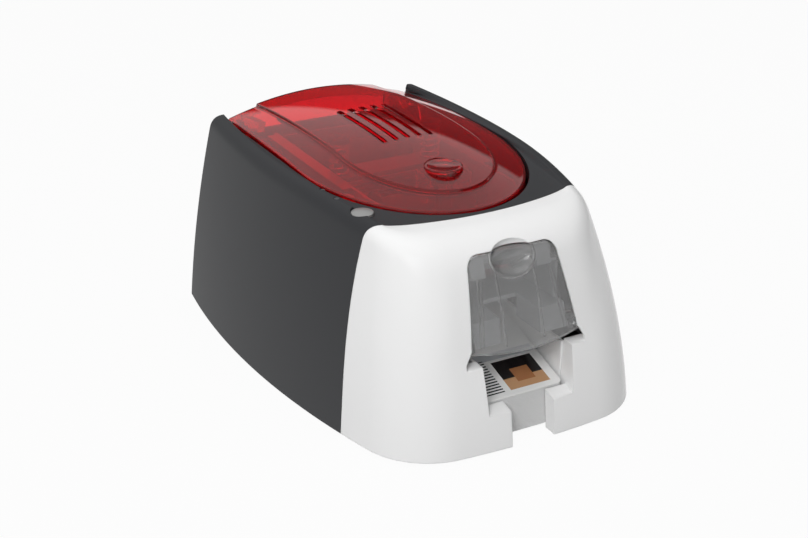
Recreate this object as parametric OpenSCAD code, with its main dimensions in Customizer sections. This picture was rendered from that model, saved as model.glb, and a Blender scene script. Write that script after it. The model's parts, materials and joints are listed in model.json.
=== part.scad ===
// Desktop ID card printer. Millimetres. +Z is up, the front faces -Y and +X is to the
// right as seen from the front. The origin is on the table, under the middle of the casing.

/* [Casing] */
// Overall width, at the widest place of the side walls
body_w = 215; // [207:0.5:232]
// Overall depth, from the front apex to the rear panel
body_l = 290; // [284:0.5:300]
// Overall height, up to the crown of the lid
body_h = 141; // [140:0.5:150]
// Thickness of the moulded walls
wall = 2.5; // [1.8:0.1:3]
// Distance from the widest place forward to the front apex
nose_l = 187; // [184:0.5:190]
// Plan radius of the side walls
side_r = 600; // [500:5:900]
// Plan radius of the front wall
front_r = 500; // [400:5:800]
// Plan radius of the front corners
corner_r = 46; // [36:1:52]
// Inward lean of the side walls at the table, millimetres per millimetre
side_draft = 0.10; // [0.06:0.01:0.12]
// Growth of that lean with height
side_curve = 0.0007; // [0.0004:0.0001:0.0008]
// Inward lean of the front wall at the table
front_draft = 0.06; // [0.03:0.01:0.08]
// Growth of that lean with height
front_curve = 0.0019; // [0.0016:0.0001:0.0021]
// Height of the casing's underside over the table
base_gap = 1.5; // [1:0.1:3]
// How far the casing's top edge lies under the lid's crown
top_drop = 13.5; // [12.5:0.1:15]

/* [Lid] */
// Half width of the lid where its round nose starts
lid_half = 70; // [66:0.5:72]
// Half width of the lid at its rear edge
lid_rear_half = 66; // [62:0.5:68]
// Gap between the lid and the casing
lid_gap = 2; // [1:0.1:2.5]
// Height of the raised tongue over the lid's wings
tongue_rise = 2; // [1:0.1:2.4]
// Half width of the raised tongue
tongue_half = 47; // [40:0.5:52]
// Number of vent slots in the lid
vent_count = 5; // [3:2:7]
// Distance between two vent slots
vent_pitch = 8; // [7:0.1:9]
// Width of a vent slot
vent_w = 3.6; // [2:0.1:4.5]
// Diameter of the round lid button
lid_button_d = 23; // [16:0.5:26]

/* [Card] */
// Length of a card
card_l = 85.6; // [80:0.1:86]
// Width of a card
card_w = 54; // [50:0.1:54.4]
// Thickness of a card
card_t = 0.76; // [0.5:0.01:0.84]

/* [Hidden] */

base_t = 3;                       // thickness of the base plate
base_top = base_gap + base_t;
board_z = base_top + 5;           // underside of the main board
notch_half = 14.3;                // half width of the notch's foot
// The notch cuts the front's apex away, so the plan's own apex lies a little further forward.
front_y = -body_l / 2 - notch_half * notch_half / (2 * front_r) - front_draft * base_gap;
rear_y = body_l / 2;              // rear apex of the rear panel
widest_y = front_y + nose_l;      // where the casing is widest
side_end_y = rear_y - 10;         // rear end of the side walls
casing_top = body_h - top_drop;   // height of the casing's top edge

// ---- plan of the casing: side arc, corner arc and front arc, tangent to each other ----
side_c = [body_w / 2 - side_r, widest_y];
front_c = [0, front_y + front_r];
// The corner's centre lies side_r - corner_r from one centre and front_r - corner_r from the other.
corner_d = front_c - side_c;
corner_ds = side_r - corner_r;
corner_df = front_r - corner_r;
corner_dd = norm(corner_d);
corner_a = (corner_ds * corner_ds - corner_df * corner_df + corner_dd * corner_dd) / (2 * corner_dd);
corner_h = sqrt(corner_ds * corner_ds - corner_a * corner_a);
corner_u = corner_d / corner_dd;
corner_c = side_c + corner_u * corner_a + [corner_u.y, -corner_u.x] * corner_h;
side_a0 = asin((side_end_y - side_c.y) / side_r);
side_a1 = atan2(corner_c.y - side_c.y, corner_c.x - side_c.x);
front_a0 = atan2(corner_c.y - front_c.y, corner_c.x - front_c.x);
side_n = 8;
corner_n = 7;
front_n = 3;

// Each station of the right half: [angle, centre, radius]
half_stations = concat(
    [for (i = [0:side_n]) [side_a0 + (side_a1 - side_a0) * i / side_n, side_c, side_r]],
    [for (i = [1:corner_n]) [side_a1 + (front_a0 - side_a1) * i / corner_n, corner_c, corner_r]],
    [for (i = [1:front_n]) [front_a0 + (-90 - front_a0) * i / front_n, front_c, front_r]]);
half_n = len(half_stations);
station_n = 2 * half_n - 1;

function mirror_x(p) = [-p.x, p.y];
function station_normal(i) =
    i < half_n ? [cos(half_stations[i][0]), sin(half_stations[i][0])]
               : mirror_x(station_normal(station_n - 1 - i));
// Plan point of station i at the table, set in by w
function station_point(i, w) =
    i < half_n
        ? half_stations[i][1] + (half_stations[i][2] - w) * station_normal(i)
        : mirror_x(station_point(station_n - 1 - i, w));

// Lean of the walls at height z, as scales of the plan
function side_in(z) = side_draft * z + side_curve * z * z;
function front_in(z) = front_draft * z + front_curve * z * z;
function scale_x(z) = 1 - side_in(z) / (body_w / 2);
function scale_y(z) = 1 - front_in(z) / nose_l;
function lean(p, z) = [
    p.x * scale_x(z),
    p.y < widest_y ? widest_y + (p.y - widest_y) * scale_y(z) : p.y,
    z];

// ---- lid surface ----
lid_crown_y = widest_y - 2;       // where the lid is highest
lid_rear_r = 770;                 // radius along the lid behind its crown
lid_front_r = 440;                // radius along the lid before its crown
lid_cross_r = 210;                // radius across the lid
lid_nose_y = widest_y - 27;       // where the lid's round nose starts
lid_nose_l = 95;                  // length of the lid's nose
lid_rear_y = side_end_y + 3.5;    // rear edge of the lid
tongue_nose_y = lid_nose_y - 10;
tongue_nose_l = 69;

function lid_top(x, y) =
    body_h - pow(y - lid_crown_y, 2) / (2 * (y > lid_crown_y ? lid_rear_r : lid_front_r))
    - x * x / (2 * lid_cross_r);
function wing_top(x, y) = lid_top(x, y) - tongue_rise;

// U-shaped plan: straight sides from y_rear to y_nose, then half an ellipse. off grows it.
function u_half(half, half_rear, y_rear, y_nose, l_nose, off, n_side, n_nose) = concat(
    [for (i = [0:n_side - 1])
        let(f = 1 - i / n_side)
        [half + off - (half - half_rear) * f * f, y_nose + (y_rear - y_nose) * f]],
    [for (i = [0:n_nose])
        let(a = 90 * i / n_nose)
        [(half + off) * cos(a), y_nose - (l_nose + off) * sin(a)]]);
function u_plan(h) = concat(h, [for (i = [len(h) - 2:-1:0]) mirror_x(h[i])]);
function lid_plan(off) =
    u_plan(u_half(lid_half, lid_rear_half, lid_rear_y, lid_nose_y, lid_nose_l, off, 6, 14));
function tongue_plan(off) =
    u_plan(u_half(tongue_half, tongue_half - 1, lid_rear_y, tongue_nose_y, tongue_nose_l, off, 6, 14));

// ---- casing section: one closed ring of points at each station ----
round_side = 8;                   // size of the rounded top edge along the sides
round_front = 16;                 // size of the rounded top edge over the front wall
front_sink = 0.000675;            // fall of the top edge towards the front, per mm squared
rim_h = 8;                        // depth of the flange round the lid's opening
rim_t = 1.6;                       // thickness of that flange
wall_levels = 5;
round_levels = 4;
top_levels = 2;

function top_z(y) = casing_top - (y < 0 ? front_sink * y * y : 0);
function front_share(i) =
    let(k = i < half_n ? i : station_n - 1 - i)
    k <= side_n ? 0 : min(1, (k - side_n) / corner_n);
function round_size(i) = let(f = front_share(i)) round_side + (round_front - round_side)
    * f * f * (3 - 2 * f);

// Where the lid's opening passes station i, grown by off
function rim_point(i, off) =
    let(k = i < half_n ? i : station_n - 1 - i,
        y = station_point(k, 0).y,
        f = (y - lid_nose_y) / (lid_rear_y - lid_nose_y),
        k0 = rim_first,
        a = 90 * (k - k0) / (half_n - 1 - k0),
        o = lid_gap + off,
        p = k <= k0
            ? [lid_half + o - (lid_half - lid_rear_half) * f * f, y]
            : [(lid_half + o) * cos(a), lid_nose_y - (lid_nose_l + o) * sin(a)])
    i < half_n ? p : mirror_x(p);
// The last station behind the lid's nose
rim_first = max([for (k = [0:side_n]) station_point(k, 0).y >= lid_nose_y ? k : 0]);

function skin_ring(i, w, drop, n_wall, n_round, n_top) =
    let(p = station_point(i, w),
        r = round_size(i),
        q = lean(station_point(i, 0), casing_top),
        zt = top_z(q.y) - drop,
        n = station_normal(i),
        a = lean(p, zt - r),
        c = lean(p, zt),
        e = rim_point(i, 0),
        in = [c.x - r * n.x, c.y - r * n.y, top_z(c.y - r * n.y) - drop])
    concat(
        [for (k = [0:n_wall]) lean(p, base_gap + (zt - r - base_gap) * k / n_wall)],
        [for (k = [1:n_round]) let(s = k / n_round)
            a * (1 - s) * (1 - s) + c * 2 * s * (1 - s) + in * s * s],
        [for (k = [1:n_top]) let(s = k / (n_top + 1), x = in.x + (e.x - in.x) * s,
            y = in.y + (e.y - in.y) * s)
            [x, y, in.z + (wing_top(e.x, e.y) - drop - in.z) * s]]);

function casing_ring(i) =
    let(e = rim_point(i, 0), f = rim_point(i, rim_t), zr = wing_top(e.x, e.y),
        inner = skin_ring(i, wall, wall, 4, 4, 1))
    concat(
        skin_ring(i, 0, 0, wall_levels, round_levels, top_levels),
        [[e.x, e.y, zr], [e.x, e.y, zr - rim_h], [f.x, f.y, zr - rim_h], [f.x, f.y, zr - wall]],
        [for (k = [len(inner) - 1:-1:0]) inner[k]]);

// A closed tube of faces through rings of equal length, with both ends capped
module sweep(rings) {
    n = len(rings);
    m = len(rings[0]);
    points = [for (r = rings) each r];
    faces = concat(
        [[for (j = [0:m - 1]) j]],
        [for (i = [0:n - 2]) for (j = [0:m - 1])
            [i * m + j, (i + 1) * m + j, (i + 1) * m + (j + 1) % m, i * m + (j + 1) % m]],
        [[for (j = [m - 1:-1:0]) (n - 1) * m + j]]);
    polyhedron(points, faces, convexity = 6);
}

// ---- solids from grids and rings ----
// A closed solid between two grids of points. Rows run along one side, columns along the
// other, and the cross product of row direction and column direction points out of upper.
module between(upper, lower) {
    ny = len(upper);
    nx = len(upper[0]);
    c = nx * ny;
    faces = concat(
        [for (j = [0:ny - 2]) for (i = [0:nx - 2]) each [
            [j * nx + i, (j + 1) * nx + i, (j + 1) * nx + i + 1],
            [j * nx + i, (j + 1) * nx + i + 1, j * nx + i + 1],
            [c + j * nx + i, c + (j + 1) * nx + i + 1, c + (j + 1) * nx + i],
            [c + j * nx + i, c + j * nx + i + 1, c + (j + 1) * nx + i + 1]]],
        [for (i = [0:nx - 2]) each [
            [i, i + 1, c + i + 1], [i, c + i + 1, c + i],
            [(ny - 1) * nx + i + 1, (ny - 1) * nx + i, c + (ny - 1) * nx + i],
            [(ny - 1) * nx + i + 1, c + (ny - 1) * nx + i, c + (ny - 1) * nx + i + 1]]],
        [for (j = [0:ny - 2]) each [
            [(j + 1) * nx, j * nx, c + j * nx], [(j + 1) * nx, c + j * nx, c + (j + 1) * nx],
            [j * nx + nx - 1, (j + 1) * nx + nx - 1, c + (j + 1) * nx + nx - 1],
            [j * nx + nx - 1, c + (j + 1) * nx + nx - 1, c + j * nx + nx - 1]]]);
    polyhedron([for (g = [upper, lower]) for (r = g) each r], faces, convexity = 6);
}

// Keeps its children as one smooth moulded skin, at their own size
module moulded() { resize([0, 0, 0]) union() children(); }

// A plate of the (x, z) outline, from y0 to y1
module upright(points, y0, y1) {
    translate([0, y1, 0]) rotate([90, 0, 0]) linear_extrude(y1 - y0) polygon(points);
}
// A plate of the (y, z) outline, from x0 to x1
module sideways(points, x0, x1) {
    translate([x0, 0, 0]) rotate([90, 0, 90]) linear_extrude(x1 - x0) polygon(points);
}
// A round bar along X, centred on x
module bar_x(r, length, x, y, z, sides = 48) {
    translate([x - length / 2, y, z]) rotate([0, 90, 0]) cylinder(r = r, h = length, $fn = sides);
}
module block(lo, hi) { translate(lo) cube(hi - lo); }
module both_sides() {
    children();
    mirror([1, 0, 0]) children();
}

// ---- casing ----
module casing_skin() {
    sweep([for (i = [0:station_n - 1]) casing_ring(i)]);
}
// All the room between the casing's walls, set in by w, and the lid's opening
module casing_mass(w) {
    sweep([for (i = [0:station_n - 1]) let(e = rim_point(i, 0))
        concat(skin_ring(i, w, w, wall_levels, round_levels, 1),
               [[e.x, e.y, wing_top(e.x, e.y) - w], [e.x, e.y, base_gap]])]);
}

// Seam between the body and the front cover: it bows forward over the top
seam_back = 59;                   // from the front apex back to the seam, at the middle
seam_bow = 12.5;                  // how far the seam runs back at the top corners
seam_half = 71.5;
seam_gap = 0.3;
function seam_y(x, z) =
    front_y + seam_back + seam_bow * pow(x / seam_half, 2) * (0.09 + 0.91 * pow(max(z, 0) / 124, 1.4));
module before_seam(gap) {
    upper = [for (z = [-5:31:150]) [for (x = [120:-30:-120]) [x, seam_y(x, z) - gap, z]]];
    lower = [for (r = upper) [for (p = r) [p.x, front_y - 20, p.z]]];
    between(upper, lower);
}

power_x = -64;
power_y = 88 - body_l / 2;
power_d = 13.4;
led_places = [[-71.2, power_y + 37], [-69.7, power_y + 21]];
led_d = 3;
board_top = casing_top - 15.7;    // upper face of the control board
top_fit = 0.25;                   // clearance of what comes through the casing's top
module body_shell() {
    color([0.27, 0.27, 0.28]) moulded() difference() {
        union() {
            casing_skin();
            intersection() {
                casing_mass(0.6);
                for (y = [33, 13]) translate([power_x + 3, power_y + y, board_top + 0.1]) cylinder(d = 5,
                    h = 30, $fn = 20);
            }
        }
        before_seam(0);
        translate([power_x, power_y, board_top]) cylinder(d = power_d + 2 * top_fit, h = 50, $fn = 32);
        for (p = led_places)
            translate([p.x, p.y, board_top]) cylinder(d = led_d + 2 * top_fit, h = 30, $fn = 16);
    }
}

rear_bow = rear_y - side_end_y;   // how far the rear panel bows out
rear_top = casing_top - 18.5;     // height of the rear panel's top edge
rear_gap = 0.3;
usb_x = 24;
jack_x = 0;
socket_z = board_z + 1.6 + 5.6;   // height of both sockets
function rear_at(x, w) = rear_y - rear_bow * pow(x / (body_w / 2 - 6), 2) - w;
module rear_wall(w, z0, z1) {
    levels = 6;
    cells = 10;
    rows = [for (j = [0:levels]) let(z = z0 + (z1 - z0) * j / levels,
        half = lean(station_point(0, wall), z).x - rear_gap)
        [for (i = [0:cells]) let(x = half * (1 - 2 * i / cells)) [x, rear_at(x, w), z]]];
    between(rows, [for (r = rows) [for (p = r) [p.x, p.y - wall, p.z]]]);
}
module rear_panel() {
    color([0.25, 0.25, 0.26]) moulded() difference() {
        rear_wall(0, base_gap, rear_top);
        block([usb_x - 6.5, side_end_y - 9, socket_z - 6], [usb_x + 6.5, rear_y + 5, socket_z + 6]);
        translate([jack_x, side_end_y - 9, socket_z]) rotate([-90, 0, 0]) cylinder(d = 9, h = 25,
            $fn = 24);
        for (k = [0:6]) block([-75 + 7 * k, side_end_y - 9, rear_top - 49],
            [-72 + 7 * k, rear_y + 5, rear_top - 19]);
    }
}

// ---- front cover: skin, window for the flap, stepped notch and thumb scoop ----
flap_hinge_y = front_y + 19;
flap_hinge_z = 60.8;
flap_half = 35.2;                 // half width of the flap along its hinge
flap_top_half = 29.3;
flap_top_z = casing_top - 17.2;
flap_low_z = 60.2;                // lower corners of the flap
flap_sag = 4;                     // how far the flap's lower edge bows down
flap_shoulder = 7.5;
flap_gap = 0.7;
flap_t = 2;
scoop_z = flap_top_z - 3.5;
scoop_half = 14.4;
scoop_depth = 7;
scoop_high = 11.3;
scoop_tilt = 25;
step_z = 52;                      // upper step of the notch, at its front
step_out = 39.7;
step_in = 29.9;
step_back = front_y + 17.6;       // rear ends of the notch's walls
ledge_z = 23.5;                   // lower step of the notch, at its front
ledge_out = 28.4;
ledge_in = notch_half;
ledge_slope = 0.26;

function front_face_y(x, z, w) =
    let(u = x / scale_x(z), y0 = front_c.y - sqrt(pow(front_r - w, 2) - u * u))
    widest_y + (y0 - widest_y) * scale_y(z);
// Plate that follows the front wall, from w0 to w1 behind its face
module front_plate(half, z0, z1, w0, w1) {
    function grid(w) = [for (j = [0:10]) let(z = z0 + (z1 - z0) * j / 10)
        [for (i = [0:8]) let(x = half * (i / 4 - 1)) [x, front_face_y(x, z, 0) + w, z]]];
    between(grid(w0), grid(w1));
}
function flap_outline(off) = let(
    r = flap_shoulder,
    right = concat(
        [for (i = [0:5]) let(f = i / 5)
            [(flap_half + off) * f, flap_low_z - off - flap_sag * (1 - f * f)]],
        [for (i = [0:5]) let(a = 90 * i / 5)
            [flap_top_half - r + (r + off) * cos(a), flap_top_z - r + (r + off) * sin(a)]]))
    concat(right, [for (i = [len(right) - 1:-1:1]) mirror_x(right[i])]);
module scoop(grow) {
    translate([0, front_face_y(0, scoop_z, 0), scoop_z]) rotate([-scoop_tilt, 0, 0])
        scale([scoop_half + grow, scoop_depth + grow, scoop_high + grow]) sphere(1, $fn = 28);
}
notch_outline = let(right = [
    [ledge_in, ledge_z], [ledge_out, ledge_z], [step_in, step_z],
    [step_out, step_z], [step_out, step_z + 3], [flap_half + flap_gap, flap_low_z + 1], [0,
        flap_low_z + 1]])
    concat(right, [for (i = [len(right) - 2:-1:0]) mirror_x(right[i])]);
cheek_t = 2.4;
step_rise = 0.7;                  // how far the upper step climbs to its rear
skirt = 0.1;                      // how far a wall stands past the cut in the skin before it

module notch_walls() {
    low = base_gap + 0.2;
    both_sides() {
        // lower ledge and the wall below it
        sideways([[front_y - 5, low], [front_y - 5, ledge_z - 2],
                  [front_y + 2.6, ledge_z - 0.02], [ledge_back,
                      ledge_z + (ledge_back - front_y - 2.6) * ledge_slope],
                  [ledge_back - stack_n * stack_shift, low]],
                 ledge_in - 1, ledge_out + 1);
        // cheek beside the cards
        upright([[ledge_out - skirt, low], [ledge_out - skirt, ledge_z], [step_in - skirt, step_z - 1.5],
                 [step_in + cheek_t, step_z - 1.5], [step_in + cheek_t, low]], front_y - 5, step_back);
        // upper step
        sideways([[front_y - 5, step_z - 3.4], [front_y - 5, step_z - 0.6], [front_y + 8, step_z - 0.02],
                  [step_back - 0.2, step_z + step_rise], [step_back - 0.2, step_z - 2.2]],
                 step_in - 2 * skirt, step_out + 3);
    }
}
module front_cover() {
    color([0.95, 0.95, 0.95]) moulded() difference() {
        union() {
            difference() {
                intersection() {
                    casing_skin();
                    before_seam(seam_gap);
                }
                upright(notch_outline, front_y - 5, front_y + 16);
            }
            intersection() {
                casing_mass(0.6);
                union() {
                    notch_walls();
                    scoop(wall);
                }
            }
        }
        // the notch's foot
        block([-ledge_in, front_y - 5, -5], [ledge_in, front_y + 30, ledge_z + 9]);
        upright(flap_outline(flap_gap), front_y - 5, front_y + 50);
        scoop(0);
    }
}

// ---- flap over the card feeder ----
pin_r = 1.5;
pin_fit = 0.06;                   // running clearance round a pin
module feeder_flap() {
    rib = 0.8;
    rib_z = flap_top_z - 13.3;
    color([0.5, 0.52, 0.54, 0.5]) moulded() {
        difference() {
            union() {
                intersection() {
                    front_plate(flap_half + 3, flap_low_z - 8, flap_top_z + 3, 0, flap_t);
                    upright(flap_outline(0), front_y - 5, front_y + 50);
                }
                // shell of the thumb bowl, and the ribs on the inner face
                intersection() {
                    front_plate(flap_half + 3, flap_low_z - 8, flap_top_z, 0.2, 16);
                    upright(flap_outline(-0.5), front_y - 5, front_y + 50);
                    scoop(1.6);
                }
                intersection() {
                    front_plate(flap_half + 3, flap_low_z - 8, flap_top_z, 0.5, flap_t + 1);
                    both_sides() {
                        upright([[13 - rib, 60], [13, 60], [13, rib_z + 2], [13 - rib, rib_z + 2]], front_y,
                            front_y + 50);
                        for (x = [26.6, 28.6]) upright([[x, 62], [x + 0.6, 62], [x - 4, rib_z],
                            [x - 4.6, rib_z]], front_y, front_y + 50);
                    }
                }
            }
            scoop(0);
        }
        // lugs that hold the hinge pins
        both_sides() sideways([
            [flap_hinge_y + 2.6, flap_hinge_z - 1.6], [flap_hinge_y + 2.6, flap_hinge_z + 1.6],
            [flap_hinge_y + 1, flap_hinge_z + 2.6], [flap_hinge_y - 5.2, flap_hinge_z + 6],
            [flap_hinge_y - 5.2, flap_hinge_z - 0.4], [flap_hinge_y - 1, flap_hinge_z - 2.6],
            [flap_hinge_y + 1, flap_hinge_z - 2.6]], 32.8, 34.8);
    }
}
module flap_pins() {
    color("silver") both_sides() bar_x(pin_r, 5, 36.5, flap_hinge_y, flap_hinge_z, 32);
}

// ---- card feeder behind the flap ----
path_z = 74.5;                    // height of the card's path
hopper_half = card_w / 2 + 1.6;
hopper_t = 2;
hopper_front = front_y + 19.5;
hopper_rear = -38;
hopper_roof = flap_top_z - 13.3;
channel_half = 13;                // finger channel in the middle
press_y = front_y + 42;
press_z = hopper_roof + 5;
module card_hopper() {
    x1 = hopper_half + hopper_t;
    y1 = front_face_y(0, hopper_roof, 0) + 5.3;     // front edges of the cheeks, behind the flap
    y2 = front_face_y(0, hopper_roof + 11, 0) + 5.26;
    color([0.78, 0.79, 0.8]) difference() {
        union() {
            // floor, side cheeks and roof edges
            block([-x1, hopper_front + 9.4, path_z - 2.5], [x1, hopper_rear, path_z]);
            both_sides() {
                block([hopper_half, y1, path_z - 14.5], [x1, hopper_rear, hopper_roof]);
                // flange on the side frame
                block([hopper_half + 0.5, -53, path_z - 14.4], [frame_x - tie_fit, -42, path_z - 12.5]);
                block([channel_half + 4, y1 + 1.5, hopper_roof - 0.1], [x1, press_y - 4,
                    hopper_roof + 2]);
                // step in front of the cards
                sideways([[hopper_front - 1.6, path_z - 14.5], [hopper_front + 1.6, path_z],
                          [hopper_front + 24, path_z], [hopper_front + 24, path_z - 14.5]],
                         channel_half, x1);
                // shoulder over the card pocket
                sideways([[y1 + 0.5, hopper_roof - 0.5], [y2, hopper_roof + 11],
                          [y2 + 2, hopper_roof + 11], [y1 + 3.5, hopper_roof - 0.5]],
                         channel_half + 4.1, hopper_half - 2);
                // ears of the press plate
                sideways([[press_y - 5, hopper_roof - 1], [press_y - 5, press_z + 4],
                          [press_y + 5, press_z + 4], [press_y + 5, hopper_roof - 1]], hopper_half, x1);
                // arm and boss of the flap's hinge
                block([x1 - 0.5, flap_hinge_y + 4.6, flap_hinge_z - 2], [x1 + 8.4, flap_hinge_y + 8,
                    flap_hinge_z + 4]);
                block([x1 + 5.4, flap_hinge_y, flap_hinge_z - 2], [x1 + 8.4, flap_hinge_y + 6,
                    flap_hinge_z + 2.6]);
                bar_x(2.7, 3, x1 + 6.9, flap_hinge_y, flap_hinge_z);
            }
        }
        both_sides() bar_x(pin_r + pin_fit, 5, x1 + 6.9, flap_hinge_y, flap_hinge_z);
        bar_x(pin_r + pin_fit, 2 * x1 + 2, 0, press_y, press_z);
        bar_x(shaft_r + 1.5, 2 * x1 + 2, 0, pick_y, roller_z);
        // slot for the pick roller
        block([-9, pick_y - 9, path_z - 4], [9, pick_y + 9, path_z + 1]);
        // finger channel in the floor
        block([-channel_half + 0.1, hopper_front, path_z - 4], [channel_half - 0.1,
            hopper_front + 25, path_z + 1]);
    }
}
press_a = 35;                     // lean of the press plate at rest
press_l = (press_z - path_z - 4.557) / sin(press_a);
module card_press() {
    half = hopper_half - 0.5;
    color([0.7, 0.7, 0.71]) difference() {
        translate([0, press_y, press_z]) rotate([-press_a, 0, 0]) union() {
            block([-half, -1, -1.5], [half, press_l, 1]);
            both_sides() block([half - 3, -1, -3], [half, press_l, 1]);
            rotate([0, 90, 0]) translate([0, 0, -half]) cylinder(r = 3, h = 2 * half, $fn = 40);
        }
        bar_x(pin_r + pin_fit, 2 * half + 2, 0, press_y, press_z);
    }
}
module press_shaft() {
    color("silver") bar_x(pin_r, 2 * (hopper_half + hopper_t) + 1, 0, press_y, press_z);
}

// ---- card output ----
tray_floor_z = 4.6;               // underside of the lowest card at its front edge
card_tilt = 16;
stack_n = 26;                     // blank or finished cards in the tray
stack_shift = 0.1;                // how far each card sits behind the one below it
stack_y = front_y + 10.2;
stack_pitch_z = (card_t + 0.02 + stack_shift * sin(card_tilt)) / cos(card_tilt);
stack_top_y = stack_y + stack_n * stack_shift;
stack_top_z = tray_floor_z + stack_n * stack_pitch_z;
ledge_back = stack_top_y - 0.8;   // the lower ledge ends just before the cards
card_corner = 3.18;
function card_outline() = [for (c = [[1, 1], [-1, 1], [-1, -1], [1, -1]]) for (i = [0:4])
    let(q = (c.y > 0 ? (c.x > 0 ? 0 : 90) : (c.x < 0 ? 180 : 270)) + 90 * i / 4)
    [c.x * (card_w / 2 - card_corner) + card_corner * cos(q),
     card_l / 2 + c.y * (card_l / 2 - card_corner) + card_corner * sin(q)]];
// A card whose lower front edge lies at (y, z)
module card_at(y, z) {
    translate([0, y, z]) rotate([card_tilt, 0, 0]) linear_extrude(card_t) polygon(card_outline());
}
module card_stack() {
    color([0.93, 0.93, 0.93])
        for (k = [0:stack_n - 1]) card_at(stack_y + k * stack_shift, tray_floor_z + k * stack_pitch_z);
}
module printed_card() {
    color([0.97, 0.97, 0.97]) card_at(stack_top_y, stack_top_z + 0.1);
}
tray_t = 2;
tray_rear = stack_y + 91.1;
module output_tray() {
    x0 = card_w / 2 + 1.2;
    floor_gap = 0.05;
    tray_front = step_back + 0.3;
    front_run = tray_front - stack_y;
    run = tray_rear - stack_y;
    rise = run * tan(card_tilt);
    color([0.9, 0.9, 0.9]) {
        // sloping floor under the cards
        sideways([[tray_front, tray_floor_z + front_run * tan(card_tilt) - floor_gap - 1],
                  [tray_front, tray_floor_z + front_run * tan(card_tilt) - floor_gap],
                  [tray_rear, tray_floor_z + rise - floor_gap], [tray_rear,
                      tray_floor_z + rise - floor_gap - tray_t]],
                 -x0 - 1, x0 + 1);
        // tongue that carries the cards between the notch's walls
        sideways([[stack_y + 1, tray_floor_z + tan(card_tilt) - floor_gap - 1],
                  [stack_y + 1, tray_floor_z + tan(card_tilt) - floor_gap],
                  [tray_front + 2, tray_floor_z + (front_run + 2) * tan(card_tilt) - 2 * floor_gap],
                  [tray_front + 2, tray_floor_z + (front_run + 2) * tan(card_tilt) - floor_gap - 0.8]],
                 1 - ledge_in, ledge_in - 1);
        // side cheeks, down to the base plate
        both_sides() block([x0, tray_front - 0.1, base_top], [x0 + tray_t, tray_rear - 0.1, step_z - 1]);
        // end wall behind the cards
        block([-x0 - 1, tray_rear - 2, base_top], [x0 + 1, tray_rear + 0.1, step_z + 6]);
    }
}

// ---- base ----
foot_d = 14;
foot_h = base_gap + 1;
foot_fit = 0.1;
base_fit = 0.4;                   // gap between the base plate and the walls
foot_places = [[78, rear_y - 33], [66, 49 - body_l / 2]];
module base_plate() {
    outline = [for (i = [0:station_n - 1]) lean(station_point(i, wall + base_fit), base_top)];
    rear = [for (k = [-10:10]) let(x = k / 10 * (body_w / 2 - 6)) [x, rear_at(x, wall + base_fit)]];
    color([0.2, 0.2, 0.21]) difference() {
        union() {
            translate([0, 0, base_gap]) linear_extrude(base_t) intersection() {
                polygon([for (p = outline) [p.x, p.y]]);
                polygon(concat(rear, [[body_w, front_y], [-body_w, front_y]]));
            }
            for (x = [-36, 36]) for (y = [48, 104])
                translate([x, y, base_top - 0.1]) cylinder(d = 6, h = board_z - base_top + 0.1, $fn = 32);
        }
        block([-step_in - cheek_t - 0.4, front_y - 5, 0], [step_in + cheek_t + 0.4, stack_y + 24, 10]);
        both_sides() for (p = foot_places)
            translate([p.x, p.y, 0]) cylinder(d = foot_d + 2 * foot_fit, h = foot_h, $fn = 48);
    }
}
module rubber_feet() {
    color([0.1, 0.1, 0.1]) both_sides() for (p = foot_places)
        translate([p.x, p.y, 0]) cylinder(d = foot_d, h = foot_h, $fn = 48);
}

// ---- print mechanism: frames, rollers and their gears ----
frame_x = 44;                     // inner face of the side frames
frame_t = 2;
frame_y0 = 75 - body_l / 2;
frame_y1 = rear_y - 33;
frame_top = casing_top - 9.5;
roller_r = 8;
shaft_r = 3;
path_fit = 0.2;                   // room between a roller and the card's path
roller_z = path_z - roller_r - path_fit;
platen_y = 35;
gear_m = 1;                       // module of the gear teeth
platen_z_n = 20;
large_n = 37;
transport_n = 20;
small_n = 18;
pick_n = 20;
pinion_n = 10;
function mesh_d(a, b) = gear_m * (a + b) / 2 + 0.15;
large_y = platen_y - mesh_d(platen_z_n, large_n);
transport_y = large_y - mesh_d(large_n, transport_n);
small_y = transport_y - mesh_d(transport_n, small_n);
pick_y = small_y - mesh_d(small_n, pick_n);
pinion_y = platen_y + mesh_d(platen_z_n, pinion_n) * cos(45);
pinion_z = roller_z - mesh_d(platen_z_n, pinion_n) * sin(45);
pinch_r = 5;
pinch_z = path_z + card_t + pinch_r + path_fit;
bush_r = 5;
bush_fit = 0.05;

module frame_plate() {
    // foot, plate with its openings and bores, and top flange
    difference() {
        union() {
            sideways([[frame_y0, base_top], [frame_y0, path_z + 18], [frame_y0 + 24, frame_top],
                      [frame_y1 - 8, frame_top], [frame_y1, frame_top - 8], [frame_y1, base_top]],
                     frame_x, frame_x + frame_t);
            block([frame_x, frame_y0 + 62, frame_top - frame_t], [frame_x + 8, frame_y1 - 10, frame_top]);
            block([frame_x, frame_y0, base_top], [frame_x + 10, frame_y1, base_top + frame_t]);
        }
        for (y = [platen_y, transport_y, pick_y]) bar_x(bush_r, 30, frame_x, y, roller_z);
        for (y = [transport_y, cleaning_y]) bar_x(shaft_r + bush_fit, 30, frame_x, y, pinch_z);
        for (y = [large_y, small_y]) bar_x(shaft_r + bush_fit, 30, frame_x, y, roller_z);
        for (p = [[takeup_y, spool_z], [supply_y, spool_z]]) bar_x(hub_r + bush_fit, 30, frame_x,
            p.x, p.y);
        block([frame_x - 1, frame_y0 + 20, 16], [frame_x + 5, frame_y0 + 66, 44]);
        block([frame_x - 1, frame_y0 + 84, 16], [frame_x + 5, frame_y1 - 16, 40]);
    }
}
module frame_left() { color([0.8, 0.8, 0.8]) mirror([1, 0, 0]) frame_plate(); }
module frame_right() { color([0.4, 0.4, 0.42]) frame_plate(); }
tie_fit = 0.1;
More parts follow.
